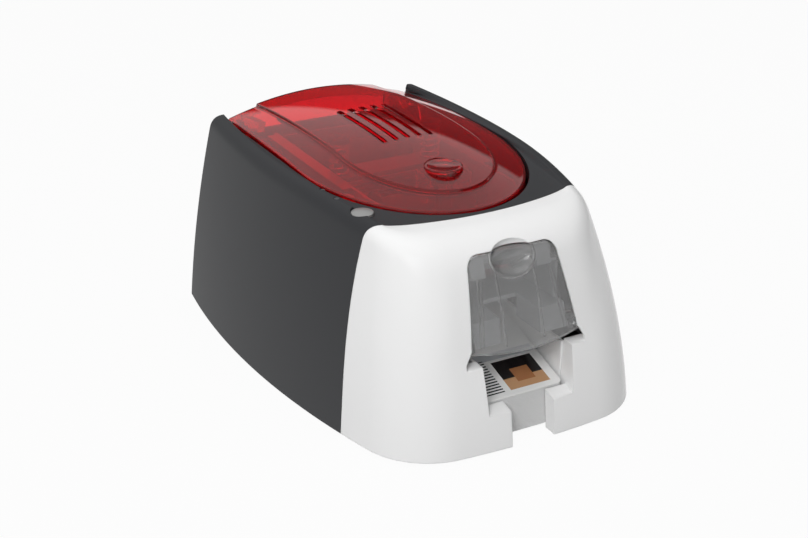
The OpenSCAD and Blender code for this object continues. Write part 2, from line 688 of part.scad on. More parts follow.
module front_tie() {
    x1 = frame_x - tie_fit;
    color([0.35, 0.35, 0.36]) union() {
        block([-x1, catch_y, catch_z], [x1, catch_y + catch_l, catch_z + 2]);
        block([-x1, catch_y, catch_z], [x1, catch_y + 2, catch_z + 9]);
        for (k = [-5:5]) block([k * 7 - 1, catch_y + 3, catch_z + 1.9], [k * 7 + 1, catch_y + 12,
            catch_z + 4]);
    }
}
catch_y = 87 - body_l / 2;        // front edge of the latch's catch
catch_l = 14;
catch_z = casing_top - 27.5;
module rear_frame() {
    color([0.35, 0.35, 0.36]) difference() {
        union() {
            block([-62, frame_y1 + tie_fit, 30], [62, frame_y1 + tie_fit + 2, lid_hinge_z - 4.5]);
            both_sides() block([frame_x, frame_y1 + tie_fit, base_top], [62, frame_y1 + tie_fit + 2, 31]);
            both_sides() sideways([[frame_y1 + 2, lid_hinge_z - 8], [frame_y1 + 2, lid_hinge_z - 4.5],
                [lid_hinge_y - 3, lid_hinge_z + 4.2], [lid_hinge_y + 3, lid_hinge_z + 4.2],
                [lid_hinge_y + 4.5, lid_hinge_z - 3], [lid_hinge_y + 3, lid_hinge_z - 5]], 58, 61);
        }
        both_sides() bar_x(hinge_r + bush_fit, 6, 59.5, lid_hinge_y, lid_hinge_z);
    }
}

// Involute spur gear of n teeth, phase 0 when a tooth points along +Y
function involute(rb, t) = [rb * (cos(t) + t * PI / 180 * sin(t)), rb * (sin(t) - t * PI / 180 * cos(t))];
function tooth(n) = let(
    rp = gear_m * n / 2, ra = rp + gear_m, rf = rp - 1.2 * gear_m, rb = rp * cos(20),
    inv20 = (tan(20) - 20 * PI / 180) * 180 / PI,
    half = 90 / n - 0.12 * 180 / (PI * rp) / 2 + inv20,
    t1 = sqrt(pow(ra / rb, 2) - 1) * 180 / PI,
    rs = max(rb, rf), t0 = rs > rb ? sqrt(pow(rs / rb, 2) - 1) * 180 / PI : 0,
    flank = [for (i = [0:2]) let(q = involute(rb, t0 + (t1 - t0) * i / 2))
        [q.x * cos(-half) - q.y * sin(-half), q.x * sin(-half) + q.y * cos(-half)]])
    concat(rf < rb ? [[rf * cos(half), -rf * sin(half)]] : [], flank,
           [for (i = [2:-1:0]) [flank[i].x, -flank[i].y]],
           rf < rb ? [[rf * cos(half), rf * sin(half)]] : []);
function gear_points(n, phase) = [for (k = [0:n - 1]) let(a = 360 * k / n + phase) for (q = tooth(n))
    [q.x * cos(a) - q.y * sin(a), q.x * sin(a) + q.y * cos(a)]];
gear_x = 49;
gear_w = 6;
module gear(n, phase, y, z, bore, x = gear_x) {
    difference() {
        sideways([for (p = gear_points(n, phase)) [y + p.x, z + p.y]], x, x + gear_w);
        bar_x(bore, 4 * gear_w, x + gear_w / 2, y, z);
    }
}
// Phase of a gear of nb teeth that meshes at direction a with one of na teeth at phase pa
function meshing(pa, na, nb, a) = a + 180 + 180 / nb - (pa - a) * na / nb;
platen_phase = 0;
large_phase = meshing(platen_phase, platen_z_n, large_n, 180);
transport_phase = meshing(large_phase, large_n, transport_n, 180);
small_phase = meshing(transport_phase, transport_n, small_n, 180);
pick_phase = meshing(small_phase, small_n, pick_n, 180);
pinion_phase = meshing(platen_phase, platen_z_n, pinion_n, -45);
spin_fit = 0.06;

module drive_shaft(y) {
    color("silver") difference() {
        bar_x(shaft_r, 102, 5, y, roller_z);
        block([54, y + shaft_r - 0.6, roller_z - 5], [60, y + 5, roller_z + 5]);
    }
}
module rubber_tube(y, half) {
    difference() {
        bar_x(roller_r, 2 * half, 0, y, roller_z, 64);
        bar_x(shaft_r, 2 * half + 2, 0, y, roller_z);
    }
}
module platen_shaft() { drive_shaft(platen_y); }
module transport_shaft() { drive_shaft(transport_y); }
module pick_shaft() { drive_shaft(pick_y); }
module platen_roller() { color([0.15, 0.15, 0.15]) rubber_tube(platen_y, 30); }
module transport_roller() { color([0.2, 0.2, 0.2]) rubber_tube(transport_y, 28); }
module pick_roller() { color([0.2, 0.2, 0.2]) rubber_tube(pick_y, 8); }
module platen_gear() { color([0.9, 0.9, 0.85]) gear(platen_z_n, platen_phase, platen_y, roller_z,
    shaft_r); }
module transport_gear() { color([0.9, 0.9, 0.85]) gear(transport_n, transport_phase, transport_y,
    roller_z, shaft_r); }
module pick_gear() { color([0.9, 0.9, 0.85]) gear(pick_n, pick_phase, pick_y, roller_z, shaft_r); }
module large_idler() {
    color([0.85, 0.85, 0.8]) gear(large_n, large_phase, large_y, roller_z, shaft_r + spin_fit);
}
module small_idler() {
    color([0.85, 0.85, 0.8]) gear(small_n, small_phase, small_y, roller_z, shaft_r + spin_fit);
}
module idler_posts() {
    color("silver") for (y = [large_y, small_y]) {
        bar_x(shaft_r, gear_w + 6, frame_x + 5.5, y, roller_z);
        bar_x(shaft_r + 1.5, 1, gear_x + gear_w + 0.8, y, roller_z);
    }
}
module shaft_bushes() {
    color([0.8, 0.6, 0.3]) both_sides() for (y = [platen_y, transport_y, pick_y]) difference() {
        union() {
            bar_x(bush_r - 0.02, frame_t + 0.6, frame_x + frame_t / 2 - 0.3, y, roller_z);
            bar_x(bush_r + 1.4, 1, frame_x - 0.5, y, roller_z);
        }
        bar_x(shaft_r + bush_fit, 10, frame_x, y, roller_z);
    }
}
cleaning_y = transport_y - 11.5;
module pinch_roller() {
    color([0.3, 0.3, 0.3]) {
        bar_x(pinch_r, 54, 0, transport_y, pinch_z);
        bar_x(shaft_r, 2 * (frame_x + 3), 0, transport_y, pinch_z);
    }
}
module cleaning_roller() {
    color([0.2, 0.45, 0.75]) {
        bar_x(pinch_r, 54, 0, cleaning_y, pinch_z);
        bar_x(shaft_r, 2 * (frame_x + 3), 0, cleaning_y, pinch_z);
    }
}

// ---- motors ----
motor_r = 17.5;
motor_x = 58;
motor_l = 26;
bracket_x = 56;
module feed_motor() {
    color([0.6, 0.6, 0.62]) difference() {
        union() {
            bar_x(motor_r, motor_l, motor_x + motor_l / 2, pinion_y, pinion_z, 64);
            bar_x(5.5, 1.5, motor_x - 0.6, pinion_y, pinion_z);
        }
        bar_x(1 + spin_fit, 12, motor_x, pinion_y, pinion_z);
    }
}
module motor_bracket() {
    color([0.5, 0.5, 0.5]) difference() {
        union() {
            block([bracket_x, pinion_y - 19, base_top], [bracket_x + 2, pinion_y + 19, pinion_z + 19]);
            block([bracket_x, pinion_y - 19, base_top], [bracket_x + 14, pinion_y + 19, base_top + 2]);
        }
        bar_x(5.6, 10, bracket_x, pinion_y, pinion_z);
        bar_x(shaft_r + 1, 10, bracket_x, platen_y, roller_z);
    }
}
module motor_pinion() {
    color([0.75, 0.65, 0.4]) {
        gear(pinion_n, pinion_phase, pinion_y, pinion_z, 1);
        bar_x(1, 13, 54.5, pinion_y, pinion_z, 24);
    }
}

// ---- ribbon ----
supply_y = rear_y - 61;
takeup_y = 133 - body_l / 2;
spool_z = path_z + 23.5;
hub_r = 6;
takeup_n = 30;
ribbon_pinion_n = 12;
ribbon_a = -45;
ribbon_x = -frame_x - frame_t - 8;
ribbon_motor_l = body_w / 2 - 83.5;
takeup_phase = 0;
ribbon_d = mesh_d(takeup_n, ribbon_pinion_n);
ribbon_y = takeup_y + ribbon_d * cos(ribbon_a);
ribbon_z = spool_z + ribbon_d * sin(ribbon_a);
module spool(y, r_wound) {
    bar_x(r_wound, 56, 0, y, spool_z, 64);
    both_sides() bar_x(15, 1.6, 30.5, y, spool_z, 64);
    bar_x(8, 66, 0, y, spool_z);
    bar_x(hub_r, 2 * (frame_x + frame_t) + 3.8, 0, y, spool_z);
}
module supply_spool() { color([0.12, 0.12, 0.3]) spool(supply_y, 14); }
module takeup_spool() {
    color([0.2, 0.15, 0.2]) {
        spool(takeup_y, 11);
        bar_x(2, 14, ribbon_x + 7.4, takeup_y, spool_z);
    }
}
module takeup_gear() {
    color([0.9, 0.9, 0.85]) gear(takeup_n, takeup_phase, takeup_y, spool_z, 2, ribbon_x);
}
module ribbon_pinion() {
    color([0.75, 0.65, 0.4]) {
        gear(ribbon_pinion_n, meshing(takeup_phase, takeup_n, ribbon_pinion_n, ribbon_a),
             ribbon_y, ribbon_z, 1, ribbon_x);
        bar_x(1, 13, ribbon_x - 0.6, ribbon_y, ribbon_z, 24);
    }
}
module ribbon_motor() {
    color([0.6, 0.6, 0.62]) difference() {
        bar_x(11, ribbon_motor_l, ribbon_x - 3.6 - ribbon_motor_l / 2, ribbon_y, ribbon_z, 64);
        bar_x(1 + spin_fit, 12, ribbon_x - 3, ribbon_y, ribbon_z);
    }
}
module ribbon_bracket() {
    color([0.5, 0.5, 0.5]) difference() {
        union() {
            block([ribbon_x - 3.5, ribbon_y - 13, base_top], [ribbon_x - 1.9, ribbon_y + 13,
                ribbon_z + 13]);
            block([ribbon_x - 14, ribbon_y - 13, base_top], [ribbon_x - 1.9, ribbon_y + 13, base_top + 2]);
        }
        bar_x(2, 10, ribbon_x - 3, ribbon_y, ribbon_z);
    }
}
module ribbon_film() {
    zf = path_z + card_t + 1.2;
    t = 0.3;
    color([0.1, 0.1, 0.12]) sideways([
        [takeup_y + 11.4, spool_z], [takeup_y + 12.2, zf], [supply_y - 12, zf], [supply_y - 14.5,
            spool_z - 2],
        [supply_y - 14.5 - t, spool_z - 2], [supply_y - 12.4, zf + t], [takeup_y + 12.6, zf + t],
        [takeup_y + 11.4 + t, spool_z]], -27, 27);
}

// ---- print head, carried by the lid ----
head_y = platen_y;
head_half = 38;
spring_x = 32.6;
spring_y = platen_y;
spring_r = 5.7;
spring_wire = 1.5;
spring_turns = 6;
spring_z1 = body_h - 9.7;
spring_z0 = spring_z1 - 20.3;
cap_h = 3;
module head_bridge() {
    color([0.3, 0.3, 0.31]) union() {
        block([-head_half, head_y - 10, spring_z0 - 3], [head_half, head_y + 10, spring_z0]);
        block([-head_half, head_y + 8, spring_z0 - 16], [head_half, head_y + 10, spring_z0]);
        both_sides() bar_z(3.2, spring_z0 - 0.1, spring_z1 - 0.05);
    }
}
module bar_z(r, z0, z1) { translate([spring_x, spring_y, z0]) cylinder(r = r, h = z1 - z0, $fn = 40); }
module print_head() {
    zh = path_z + card_t + 2.4;
    fin_pitch = (spring_z0 - zh - 13.34) / 5;
    color([0.7, 0.7, 0.72]) union() {
        block([-30, head_y - 7, zh + 7.9], [30, head_y + 7, spring_z0 - 3]);
        sideways([[head_y - 7, zh + 8], [head_y + 7, zh + 8], [head_y + 3, zh], [head_y - 3, zh]],
            -30, 30);
        for (k = [0:3]) let(z = spring_z0 - 5 - fin_pitch * k)
            block([-30, head_y - 12, z - 2], [30, head_y - 6, z]);
    }
}
// One unbroken coil with straight ends is drawn as a tube of six sides
function coil_ring(a, z, r, w) = [for (k = [0:5]) let(b = 60 * k)
    [(r + w * cos(b)) * cos(a), (r + w * cos(b)) * sin(a), z + w * sin(b)]];
module coil(r, w, z0, z1, turns) {
    n = 10 * turns;
    rings = [for (i = [0:n]) coil_ring(360 * turns * i / n, z0 + w + (z1 - z0 - 2 * w) * i / n, r, w)];
    sweep(rings);
}
module head_springs() {
    color([0.75, 0.75, 0.77]) both_sides() translate([spring_x, spring_y, 0])
        coil(spring_r, spring_wire / 2, spring_z0 + 0.15, spring_z1 - 0.15, spring_turns);
}
module spring_caps() {
    color([0.15, 0.15, 0.15]) both_sides() {
        bar_z(spring_r + 1.2, spring_z1, spring_z1 + cap_h);
        bar_z(2.5, spring_z1 + cap_h - 0.1, spring_z1 + cap_h + 1.1);
    }
}

// ---- lid ----
lid_t = 2.5;
lid_skirt = 7;
lid_hinge_y = rear_y - 14.5;
hinge_r = 3;
arm_x = 51.5;
arm_w = 5;
lid_hinge_z = wing_top(arm_x, lid_hinge_y) - 10.832;
function grid(x0, x1, nx, y0, y1, ny, drop) = [for (j = [0:ny]) let(y = y0 + (y1 - y0) * j / ny)
    [for (i = [0:nx]) let(x = x0 + (x1 - x0) * i / nx) [x, y, lid_top(x, y) - drop]]];
module lid_slab(drop, low) {
    upper = grid(-80, 80, 12, lid_nose_y - lid_nose_l - 6, lid_rear_y + 6, 18, drop);
    between(upper, [for (r = upper) [for (p = r) [p.x, p.y, low]]]);
}
module lid_prism(points) { translate([0, 0, 60]) linear_extrude(100) polygon(points); }
module lid_shell() {
    skin_in = lid_t - 0.3;
    color([0.7, 0.05, 0.08, 0.6]) moulded() difference() {
        union() {
            intersection() {
                lid_slab(tongue_rise, 90);
                lid_prism(lid_plan(0));
            }
            intersection() {
                lid_slab(0, 90);
                lid_prism(tongue_plan(0));
            }
        }
        intersection() {
            lid_slab(tongue_rise + lid_t, 85);
            lid_prism(lid_plan(-skin_in));
        }
        intersection() {
            lid_slab(lid_t, 85);
            lid_prism(tongue_plan(-skin_in));
        }
        lid_slab(tongue_rise + lid_skirt, 80);
        for (k = [0:vent_count - 1])
            translate([(k - (vent_count - 1) / 2) * vent_pitch, 0, 120]) linear_extrude(40) {
                translate([-vent_w / 2, vent_y0]) square([vent_w, vent_l]);
                for (y = [vent_y0, vent_y0 + vent_l]) translate([0, y]) circle(d = vent_w, $fn = 16);
            }
        translate([0, button_y, 100]) cylinder(d = lid_button_d + 2 * top_fit, h = 60, $fn = 40);
    }
}
vent_y0 = 151 - body_l / 2;
vent_l = 62;
button_y = 106.4 - body_l / 2;
module lid_arms() {
    top = [for (k = [0:3]) let(y = lid_hinge_y - 26 + 10.3 * k)
        [y, wing_top(arm_x + arm_w, y) - lid_t - 0.1]];
    color([0.5, 0.05, 0.07]) both_sides() difference() {
        union() {
            sideways(concat(top, [[lid_hinge_y + 5, lid_hinge_z], [lid_hinge_y - 5, lid_hinge_z - 3],
                                  [lid_hinge_y - 22, lid_hinge_z + 2]]), arm_x, arm_x + arm_w);
            bar_x(5.5, arm_w, arm_x + arm_w / 2, lid_hinge_y, lid_hinge_z);
        }
        bar_x(hinge_r + bush_fit, arm_w + 4, arm_x + arm_w / 2, lid_hinge_y, lid_hinge_z);
    }
}
module hinge_pins() {
    color("silver") both_sides() bar_x(hinge_r, 61.5 - arm_x, (arm_x + 61.5) / 2, lid_hinge_y,
        lid_hinge_z);
}
button_top = 1.6;                 // how far the button stands over the tongue
module lid_button() {
    zt = lid_top(0, button_y);
    color([0.75, 0.06, 0.09]) union() {
        translate([0, button_y, zt - 3]) cylinder(d = lid_button_d, h = 3 + button_top - 0.6, $fn = 64);
        translate([0, button_y, zt + button_top - 0.61]) cylinder(d1 = lid_button_d,
            d2 = lid_button_d - 2, h = 0.6, $fn = 64);
        // stem that presses the hook's lever
        block([-3, latch_y - 10.2, latch_z + lever_h + 0.05], [3, latch_y - 8.2, zt - 2.9]);
    }
}
latch_y = button_y;
latch_z = catch_z + 18;
lever_h = 3;                      // upper face of the hook's lever over its pivot
module latch_hook() {
    color([0.2, 0.2, 0.2]) difference() {
        union() {
            sideways([[latch_y - 2, latch_z], [latch_y - 2, catch_z - 0.6],
                      [catch_y + catch_l - 3, catch_z - 0.6], [catch_y + catch_l - 2, catch_z - 4],
                      [latch_y + 2, catch_z - 4], [latch_y + 2.5, latch_z]], -4, 4);
            sideways([[latch_y, latch_z + lever_h], [latch_y - 11, latch_z + lever_h],
                      [latch_y - 11, latch_z + lever_h - 2], [latch_y, latch_z - 1]], -3.5, 3.5);
            bar_x(4, 8, 0, latch_y, latch_z);
        }
        bar_x(pin_r + pin_fit, 12, 0, latch_y, latch_z);
    }
}
module latch_bracket() {
    ear_x = lid_button_d / 2 + 1.3;
    top = [for (y = [latch_y + 8, latch_y - 8]) [y, lid_top(ear_x + 2, y) - lid_t - 0.1]];
    color([0.5, 0.05, 0.07]) {
        both_sides() sideways(concat([[latch_y - 4, latch_z - 4], [latch_y + 4, latch_z - 4]], top),
                              ear_x, ear_x + 2);
        bar_x(pin_r, 2 * ear_x + 3, 0, latch_y, latch_z, 32);
    }
}

// ---- controls ----
module power_button() {
    color([0.75, 0.76, 0.77]) union() {
        translate([power_x, power_y, board_top + 6.2]) cylinder(d = power_d, h = 6.7, $fn = 48);
        translate([power_x, power_y, board_top + 12.89]) cylinder(d1 = power_d, d2 = power_d - 2.4,
            h = 0.9, $fn = 48);
        translate([power_x, power_y, board_top + 4.2]) cylinder(d = power_d + 3, h = 2.01, $fn = 48);
    }
}
module status_leds() {
    color([0.85, 0.85, 0.85]) for (p = led_places)
        translate([p.x, p.y, board_top + 0.05]) cylinder(d = led_d, h = 14.7, $fn = 24);
}
module control_board() {
    color([0.1, 0.35, 0.2]) union() {
        block([power_x - 8.5, power_y - 8, board_top - 1.6], [power_x + 8, power_y + 45, board_top]);
        block([power_x - 3, power_y - 3, board_top - 0.1], [power_x + 3, power_y + 3, board_top + 2.4]);
    }
}

// ---- electronics ----
module main_board() {
    color([0.1, 0.4, 0.2]) {
        block([-40, 44, board_z], [40, side_end_y - 4, board_z + 1.6]);
        block([-20, 60, board_z + 1.61], [-4, 76, board_z + 4]);
        block([8, 56, board_z + 1.61], [22, 66, board_z + 3.5]);
        for (k = [0:3]) translate([-30 + 12 * k, 94, board_z + 1.61]) cylinder(r = 4, h = 12, $fn = 32);
    }
}
module usb_socket() {
    color([0.7, 0.7, 0.7]) difference() {
        block([usb_x - 6, rear_at(usb_x, 0) - 20, socket_z - 5.5], [usb_x + 6, rear_at(usb_x, 0)
            - 0.5, socket_z + 5.5]);
        block([usb_x - 4.2, rear_at(usb_x, 0) - 9, socket_z - 4], [usb_x + 4.2, rear_at(usb_x, 0)
            + 1, socket_z + 4]);
    }
}
module power_jack() {
    color([0.12, 0.12, 0.12]) difference() {
        union() {
            translate([jack_x, rear_at(jack_x, 0) - 20, socket_z]) rotate([-90, 0, 0])
                cylinder(d = 8.6, h = 19.5, $fn = 48);
            block([jack_x - 4.5, rear_at(jack_x, 0) - 20, board_z + 1.65],
                  [jack_x + 4.5, rear_at(jack_x, 0) - 6, socket_z]);
        }
        translate([jack_x, rear_at(jack_x, 0) - 10, socket_z]) rotate([-90, 0, 0]) cylinder(d = 5.5,
            h = 12, $fn = 48);
    }
}

base_plate();
rubber_feet();
body_shell();
rear_panel();
front_cover();
card_hopper();
card_press();
press_shaft();
output_tray();
card_stack();
printed_card();
feeder_flap();
flap_pins();
frame_left();
frame_right();
front_tie();
rear_frame();
platen_shaft();
platen_roller();
platen_gear();
large_idler();
transport_shaft();
transport_roller();
transport_gear();
small_idler();
pick_shaft();
pick_roller();
pick_gear();
idler_posts();
shaft_bushes();
pinch_roller();
cleaning_roller();
feed_motor();
motor_bracket();
motor_pinion();
supply_spool();
takeup_spool();
takeup_gear();
ribbon_pinion();
ribbon_motor();
ribbon_bracket();
ribbon_film();
head_bridge();
print_head();
head_springs();
spring_caps();
lid_shell();
lid_arms();
hinge_pins();
lid_button();
latch_hook();
latch_bracket();
power_button();
status_leds();
control_board();
main_board();
usb_socket();
power_jack();
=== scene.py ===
"""Looks of a desktop ID card printer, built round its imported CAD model."""

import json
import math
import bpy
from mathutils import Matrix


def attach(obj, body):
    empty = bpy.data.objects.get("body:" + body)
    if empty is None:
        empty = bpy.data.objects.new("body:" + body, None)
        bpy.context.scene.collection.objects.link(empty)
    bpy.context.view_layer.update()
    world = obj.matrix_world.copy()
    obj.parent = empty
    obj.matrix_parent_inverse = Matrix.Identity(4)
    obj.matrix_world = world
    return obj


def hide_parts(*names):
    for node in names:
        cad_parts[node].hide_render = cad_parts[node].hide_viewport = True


bl_info = {
    "name": "ID card printer",
    "version": (1, 0, 0),
    "blender": (4, 5, 0),
    "location": "View3D > Sidebar > Card printer",
    "description": "Moulded skins, lid, cards, springs and finishes of a desktop ID card printer",
    "category": "Add Mesh",
}

import bpy
import bmesh
import numpy as np

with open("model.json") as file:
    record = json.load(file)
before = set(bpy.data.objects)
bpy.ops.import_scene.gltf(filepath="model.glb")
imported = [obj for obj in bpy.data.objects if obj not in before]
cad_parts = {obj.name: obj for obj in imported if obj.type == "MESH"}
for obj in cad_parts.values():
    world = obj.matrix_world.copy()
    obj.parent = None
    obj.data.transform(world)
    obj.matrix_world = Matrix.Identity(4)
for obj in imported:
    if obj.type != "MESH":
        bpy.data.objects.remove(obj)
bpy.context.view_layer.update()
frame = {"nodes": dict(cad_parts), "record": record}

MM = 0.001


# ---- numbers of the shapes, in millimetres, most of them as in the part's source ----
BODY_W, BODY_L, BODY_H = 215.0, 290.0, 141.0
BASE_GAP = 1.5
# Plan: radii of the side, front and corner arcs, and how far the nose runs before the widest place
SIDE_R, FRONT_R, CORNER_R = 600.0, 500.0, 46.0
NOSE_L = 187.0
# Walls: how far they lean in per mm of height and per mm squared
SIDE_DRAFT, SIDE_CURVE = 0.10, 0.0007
FRONT_DRAFT, FRONT_CURVE = 0.06, 0.0019
NOTCH_HALF = 14.3
FRONT_Y = -BODY_L / 2 - NOTCH_HALF**2 / (2 * FRONT_R) - FRONT_DRAFT * BASE_GAP
REAR_Y = BODY_L / 2
WIDEST_Y = FRONT_Y + NOSE_L
SIDE_END_Y = REAR_Y - 10
CASING_TOP = BODY_H - 13.5
# Fall of the top edge per y squared, and the radius of the turn from wall to top
TOP_FALL = 0.000675
SIDE_TURN_R, FRONT_TURN_R = 8.0, 16.0
FLANGE_T, FLANGE_DEPTH = 1.6, 8.0
# Length of the opening's edge that the corner and front stations share
RIM_RUN = 160.0
SEAM_Y, SEAM_BOW, SEAM_HALF, SEAM_TOP = FRONT_Y + 59, 12.5, 71.5, 124.0
# Stations on the plan's side, corner and front arcs, and on half the plan
SIDE_N, CORNER_N, FRONT_N = 8, 7, 3
HALF_N = SIDE_N + CORNER_N + FRONT_N
# Rows of points up the wall, round its turn and over the top
WALL_ROWS, TURN_ROWS, TOP_ROWS = 26, 14, 9
LED_PLACES, LED_R = [(-71.2, -20.0), (-69.7, -36.0)], 1.75
POWER_X, POWER_Y, POWER_Z, POWER_R = -64.0, -57.0, 124.0, 6.7
BUTTON_FIT = 0.25
# Rear panel, the windows of its sockets, and its vents
PANEL_TOP, PANEL_T, PANEL_FIT = 109.0, 2.5, 0.3
DATA_LOW, DATA_HIGH = (17.5, 10.7), (30.5, 22.7)
JACK_Z, JACK_R = 16.7, 4.5
REAR_VENTS, REAR_VENT_X, REAR_VENT_PITCH, REAR_VENT_W = 7, -75.0, 7.0, 3.0
REAR_VENT_LOW, REAR_VENT_HIGH = 60.0, 90.0
# Lid, and the radii of its crown before, behind and across
LID_HALF, LID_REAR_HALF = 70.0, 66.0
CROWN_FRONT_R, CROWN_REAR_R, CROWN_ACROSS_R = 440.0, 770.0, 210.0
TONGUE_HALF, TONGUE_RISE, TONGUE_SLOPE = 47.0, 2.0, 1.1
LID_GAP = 2.0
LID_CROWN_Y = WIDEST_Y - 2
LID_NOSE_Y, LID_NOSE_L = WIDEST_Y - 27, 95.0
TONGUE_NOSE_Y, TONGUE_NOSE_L = LID_NOSE_Y - 10, 69.0
# Half width before and behind, nose's start and length, and corner radius of both plans
LID_PLAN = (LID_HALF, LID_REAR_HALF, LID_NOSE_Y, LID_NOSE_L, 3.0)
TONGUE_PLAN = (TONGUE_HALF, TONGUE_HALF - 1, TONGUE_NOSE_Y, TONGUE_NOSE_L, 0.0)
LID_REAR_Y = SIDE_END_Y + 3.5
LID_T, LID_SKIRT, LID_EDGE_R = 2.5, 7.0, 1.6
LID_VENTS, LID_VENT_Y = 5, 6.0
BUTTON_Y = -38.6
# Feeder flap: half width and height of its foot, the foot's sag, and its round shoulders
FLAP_T, FLAP_FOOT_HALF, FLAP_FOOT_Z, FLAP_SAG = 2.0, 35.2, 60.2, 4.0
SHOULDER_X, SHOULDER_Z, SHOULDER_R = 21.8, 102.8, 7.5
# Half width, lower and upper end of the plate that the flap is cut from
FLAP_BLANK = (38.2, 52.2, 113.3)
FLAP_HINGE_Y, FLAP_HINGE_Z = FRONT_Y + 19, 60.8
SCOOP_Z, SCOOP_RADII, SCOOP_TILT = 106.8, (14.4, 7.0, 11.3), -25.0
# Stepped outlet: height, outer and inner half width of the upper step and of the ledge
STEP_Z, STEP_OUT, STEP_IN, STEP_RISE = 52.0, 39.7, 29.9, 0.7
STEP_BACK = FRONT_Y + 17.6
LEDGE_Z, LEDGE_OUT, LEDGE_IN, LEDGE_SLOPE = 23.5, 28.4, NOTCH_HALF, 0.26
# Cards, tilted in the outlet, each a little behind the one below
CARD_L, CARD_W, CARD_T, CARD_CORNER, CARD_TILT = 85.6, 54.0, 0.76, 3.18, 16.0
CARD_EDGE = 0.12
STACK_N, STACK_SHIFT, STACK_Y, STACK_Z = 26, 0.1, FRONT_Y + 10.2, 4.6
CARD_SIN, CARD_COS = math.sin(math.radians(CARD_TILT)), math.cos(math.radians(CARD_TILT))
STACK_PITCH = (CARD_T + 0.02 + STACK_SHIFT * CARD_SIN) / CARD_COS
PRINTED_Y, PRINTED_Z = STACK_Y + STACK_N * STACK_SHIFT, STACK_Z + STACK_N * STACK_PITCH + 0.1
SPRING_X, SPRING_Y, SPRING_R, SPRING_WIRE = 32.6, 35.0, 5.7, 0.75
SPRING_LOW, SPRING_HIGH, CAP_R = 111.15, 131.15, 6.9
FRAME_FACE_X, SCREW_R = 46.0, 2.4
SCREW_PLACES = [(-60, 12), (-20, 12), (40, 12), (100, 12), (100, 104), (-30, 100)]
# Blocks of the printed card in mm across and along it, painted in this order
CARD_BLOCKS = [
    (-25, 25, 30, 36, "#c9ccd0"),
    (-6, 21, 4, 13, "#c79a72"),
    (-6, 21, 13, 28, "#211d1d"),
    (2, 14, 9, 20, "#a8714b"),
]
# Its bars: the block they fill, the half pitch and half width of a bar
BARS, BAR_PITCH, BAR_HALF = (-25, -10, 4, 31, "#26282b"), 1.1, 0.5

# ---- numbers of the stage, in metres, watts and degrees ----
# Name, place, size and power of each softbox
SOFTBOXES = [
    ("key_softbox", (-1.1, -1.2, 1.25), 0.9, 19.5),
    ("top_softbox", (0.0, 0.1, 1.6), 1.2, 9.5),
]
AIM = (0, 0, 0.07)
CAMERA_PLACE, CAMERA_TURN, CAMERA_LENS = (-0.4228, -0.7622, 0.4484), (65.55, 0, -28.69), 66.83
# Share of plain white in the floor as seen, and the room's strength below and above its edge
FLOOR_GLOW = 0.95
ROOM_LOW, ROOM_HIGH, ROOM_HIGH_GLOSSY = 0.06, 0.27, 0.66
# Direction across the room's edge, and where along it the edge starts and ends
ROOM_EDGE_ACROSS, ROOM_EDGE = (-0.35, 0, 1), (0.15, 0.19)


def linear(code):
    """An sRGB hex colour as linear red, green and blue."""
    c = np.array([int(code[i : i + 2], 16) / 255 for i in (1, 3, 5)])
    return tuple(np.where(c <= 0.04045, c / 12.92, ((c + 0.055) / 1.055) ** 2.4))


# ---- sizes and colours that a user would change ----
def length(name, description, value):
    """A size in metres for a property group."""
    return bpy.props.FloatProperty(
        name=name, description=description, default=value, unit="LENGTH", precision=5
    )


def colour(name, description, code):
    """A colour for a property group, from its sRGB hex code."""
    return bpy.props.FloatVectorProperty(
        name=name, description=description, default=linear(code), subtype="COLOR", size=3
    )


class PRINTER_PG_casing(bpy.types.PropertyGroup):
    """Sizes of the moulded casing."""

    wall: length("Wall", "Thickness of the moulded walls", 2.5 * MM)
    seam_gap: length("Seam gap", "Gap between the body and the front cover", 0.3 * MM)
    rim_round: length("Rim round", "Rounding of the edge round the lid's opening", 0.9 * MM)
    flap_gap: length("Flap gap", "Gap round the feeder flap", 0.7 * MM)


class PRINTER_PG_lid(bpy.types.PropertyGroup):
    """Sizes of the lid and its button."""

    vent_pitch: length("Vent pitch", "Distance between two vent slots", 8 * MM)
    vent_width: length("Vent width", "Width of a vent slot", 3.6 * MM)
    vent_length: length("Vent length", "Length of a vent slot's straight part", 62 * MM)
    button_diameter: length("Button diameter", "Diameter of the release button", 23 * MM)


class PRINTER_PG_colours(bpy.types.PropertyGroup):
    """Colours of the mouldings."""

    body: colour("Body", "Graphite of the body shell", "#252629")
    front: colour("Front", "White of the front cover", "#f7f7f7")
    lid: colour("Lid", "Red of the clear lid", "#e8101c")
    flap: colour("Flap", "Smoke grey of the feeder flap", "#e2e2e2")
    button: colour("Power button", "Silver of the power button", "#a9a9a8")


# ---- materials ----
def add(tree, kind, sockets=None, **settings):
    """Adds a node; a socket gets a value or, from a (node, output) pair, a link."""
    node = tree.nodes.new(kind)
    for key, value in settings.items():
        setattr(node, key, value)
    for socket, value in (sockets or {}).items():
        if isinstance(value, tuple) and isinstance(value[0], bpy.types.Node):
            tree.links.new(value[0].outputs[value[1]], node.inputs[socket])
        else:
            node.inputs[socket].default_value = value
    return node


def rgba(code):
    """A hex code or three linear numbers as an opaque colour."""
    return (*(linear(code) if isinstance(code, str) else tuple(code)), 1)


def start(name, sockets):
    """A new material: its surface shader with these values, and Object coordinates."""
    material = bpy.data.materials.new(name)
    material.use_nodes = True
    tree = material.node_tree
    tree.nodes.clear()
    shader = add(tree, "ShaderNodeBsdfPrincipled", sockets)
    add(tree, "ShaderNodeOutputMaterial", {"Surface": (shader, "BSDF")})
    return material, tree, shader, (add(tree, "ShaderNodeTexCoord"), "Object")


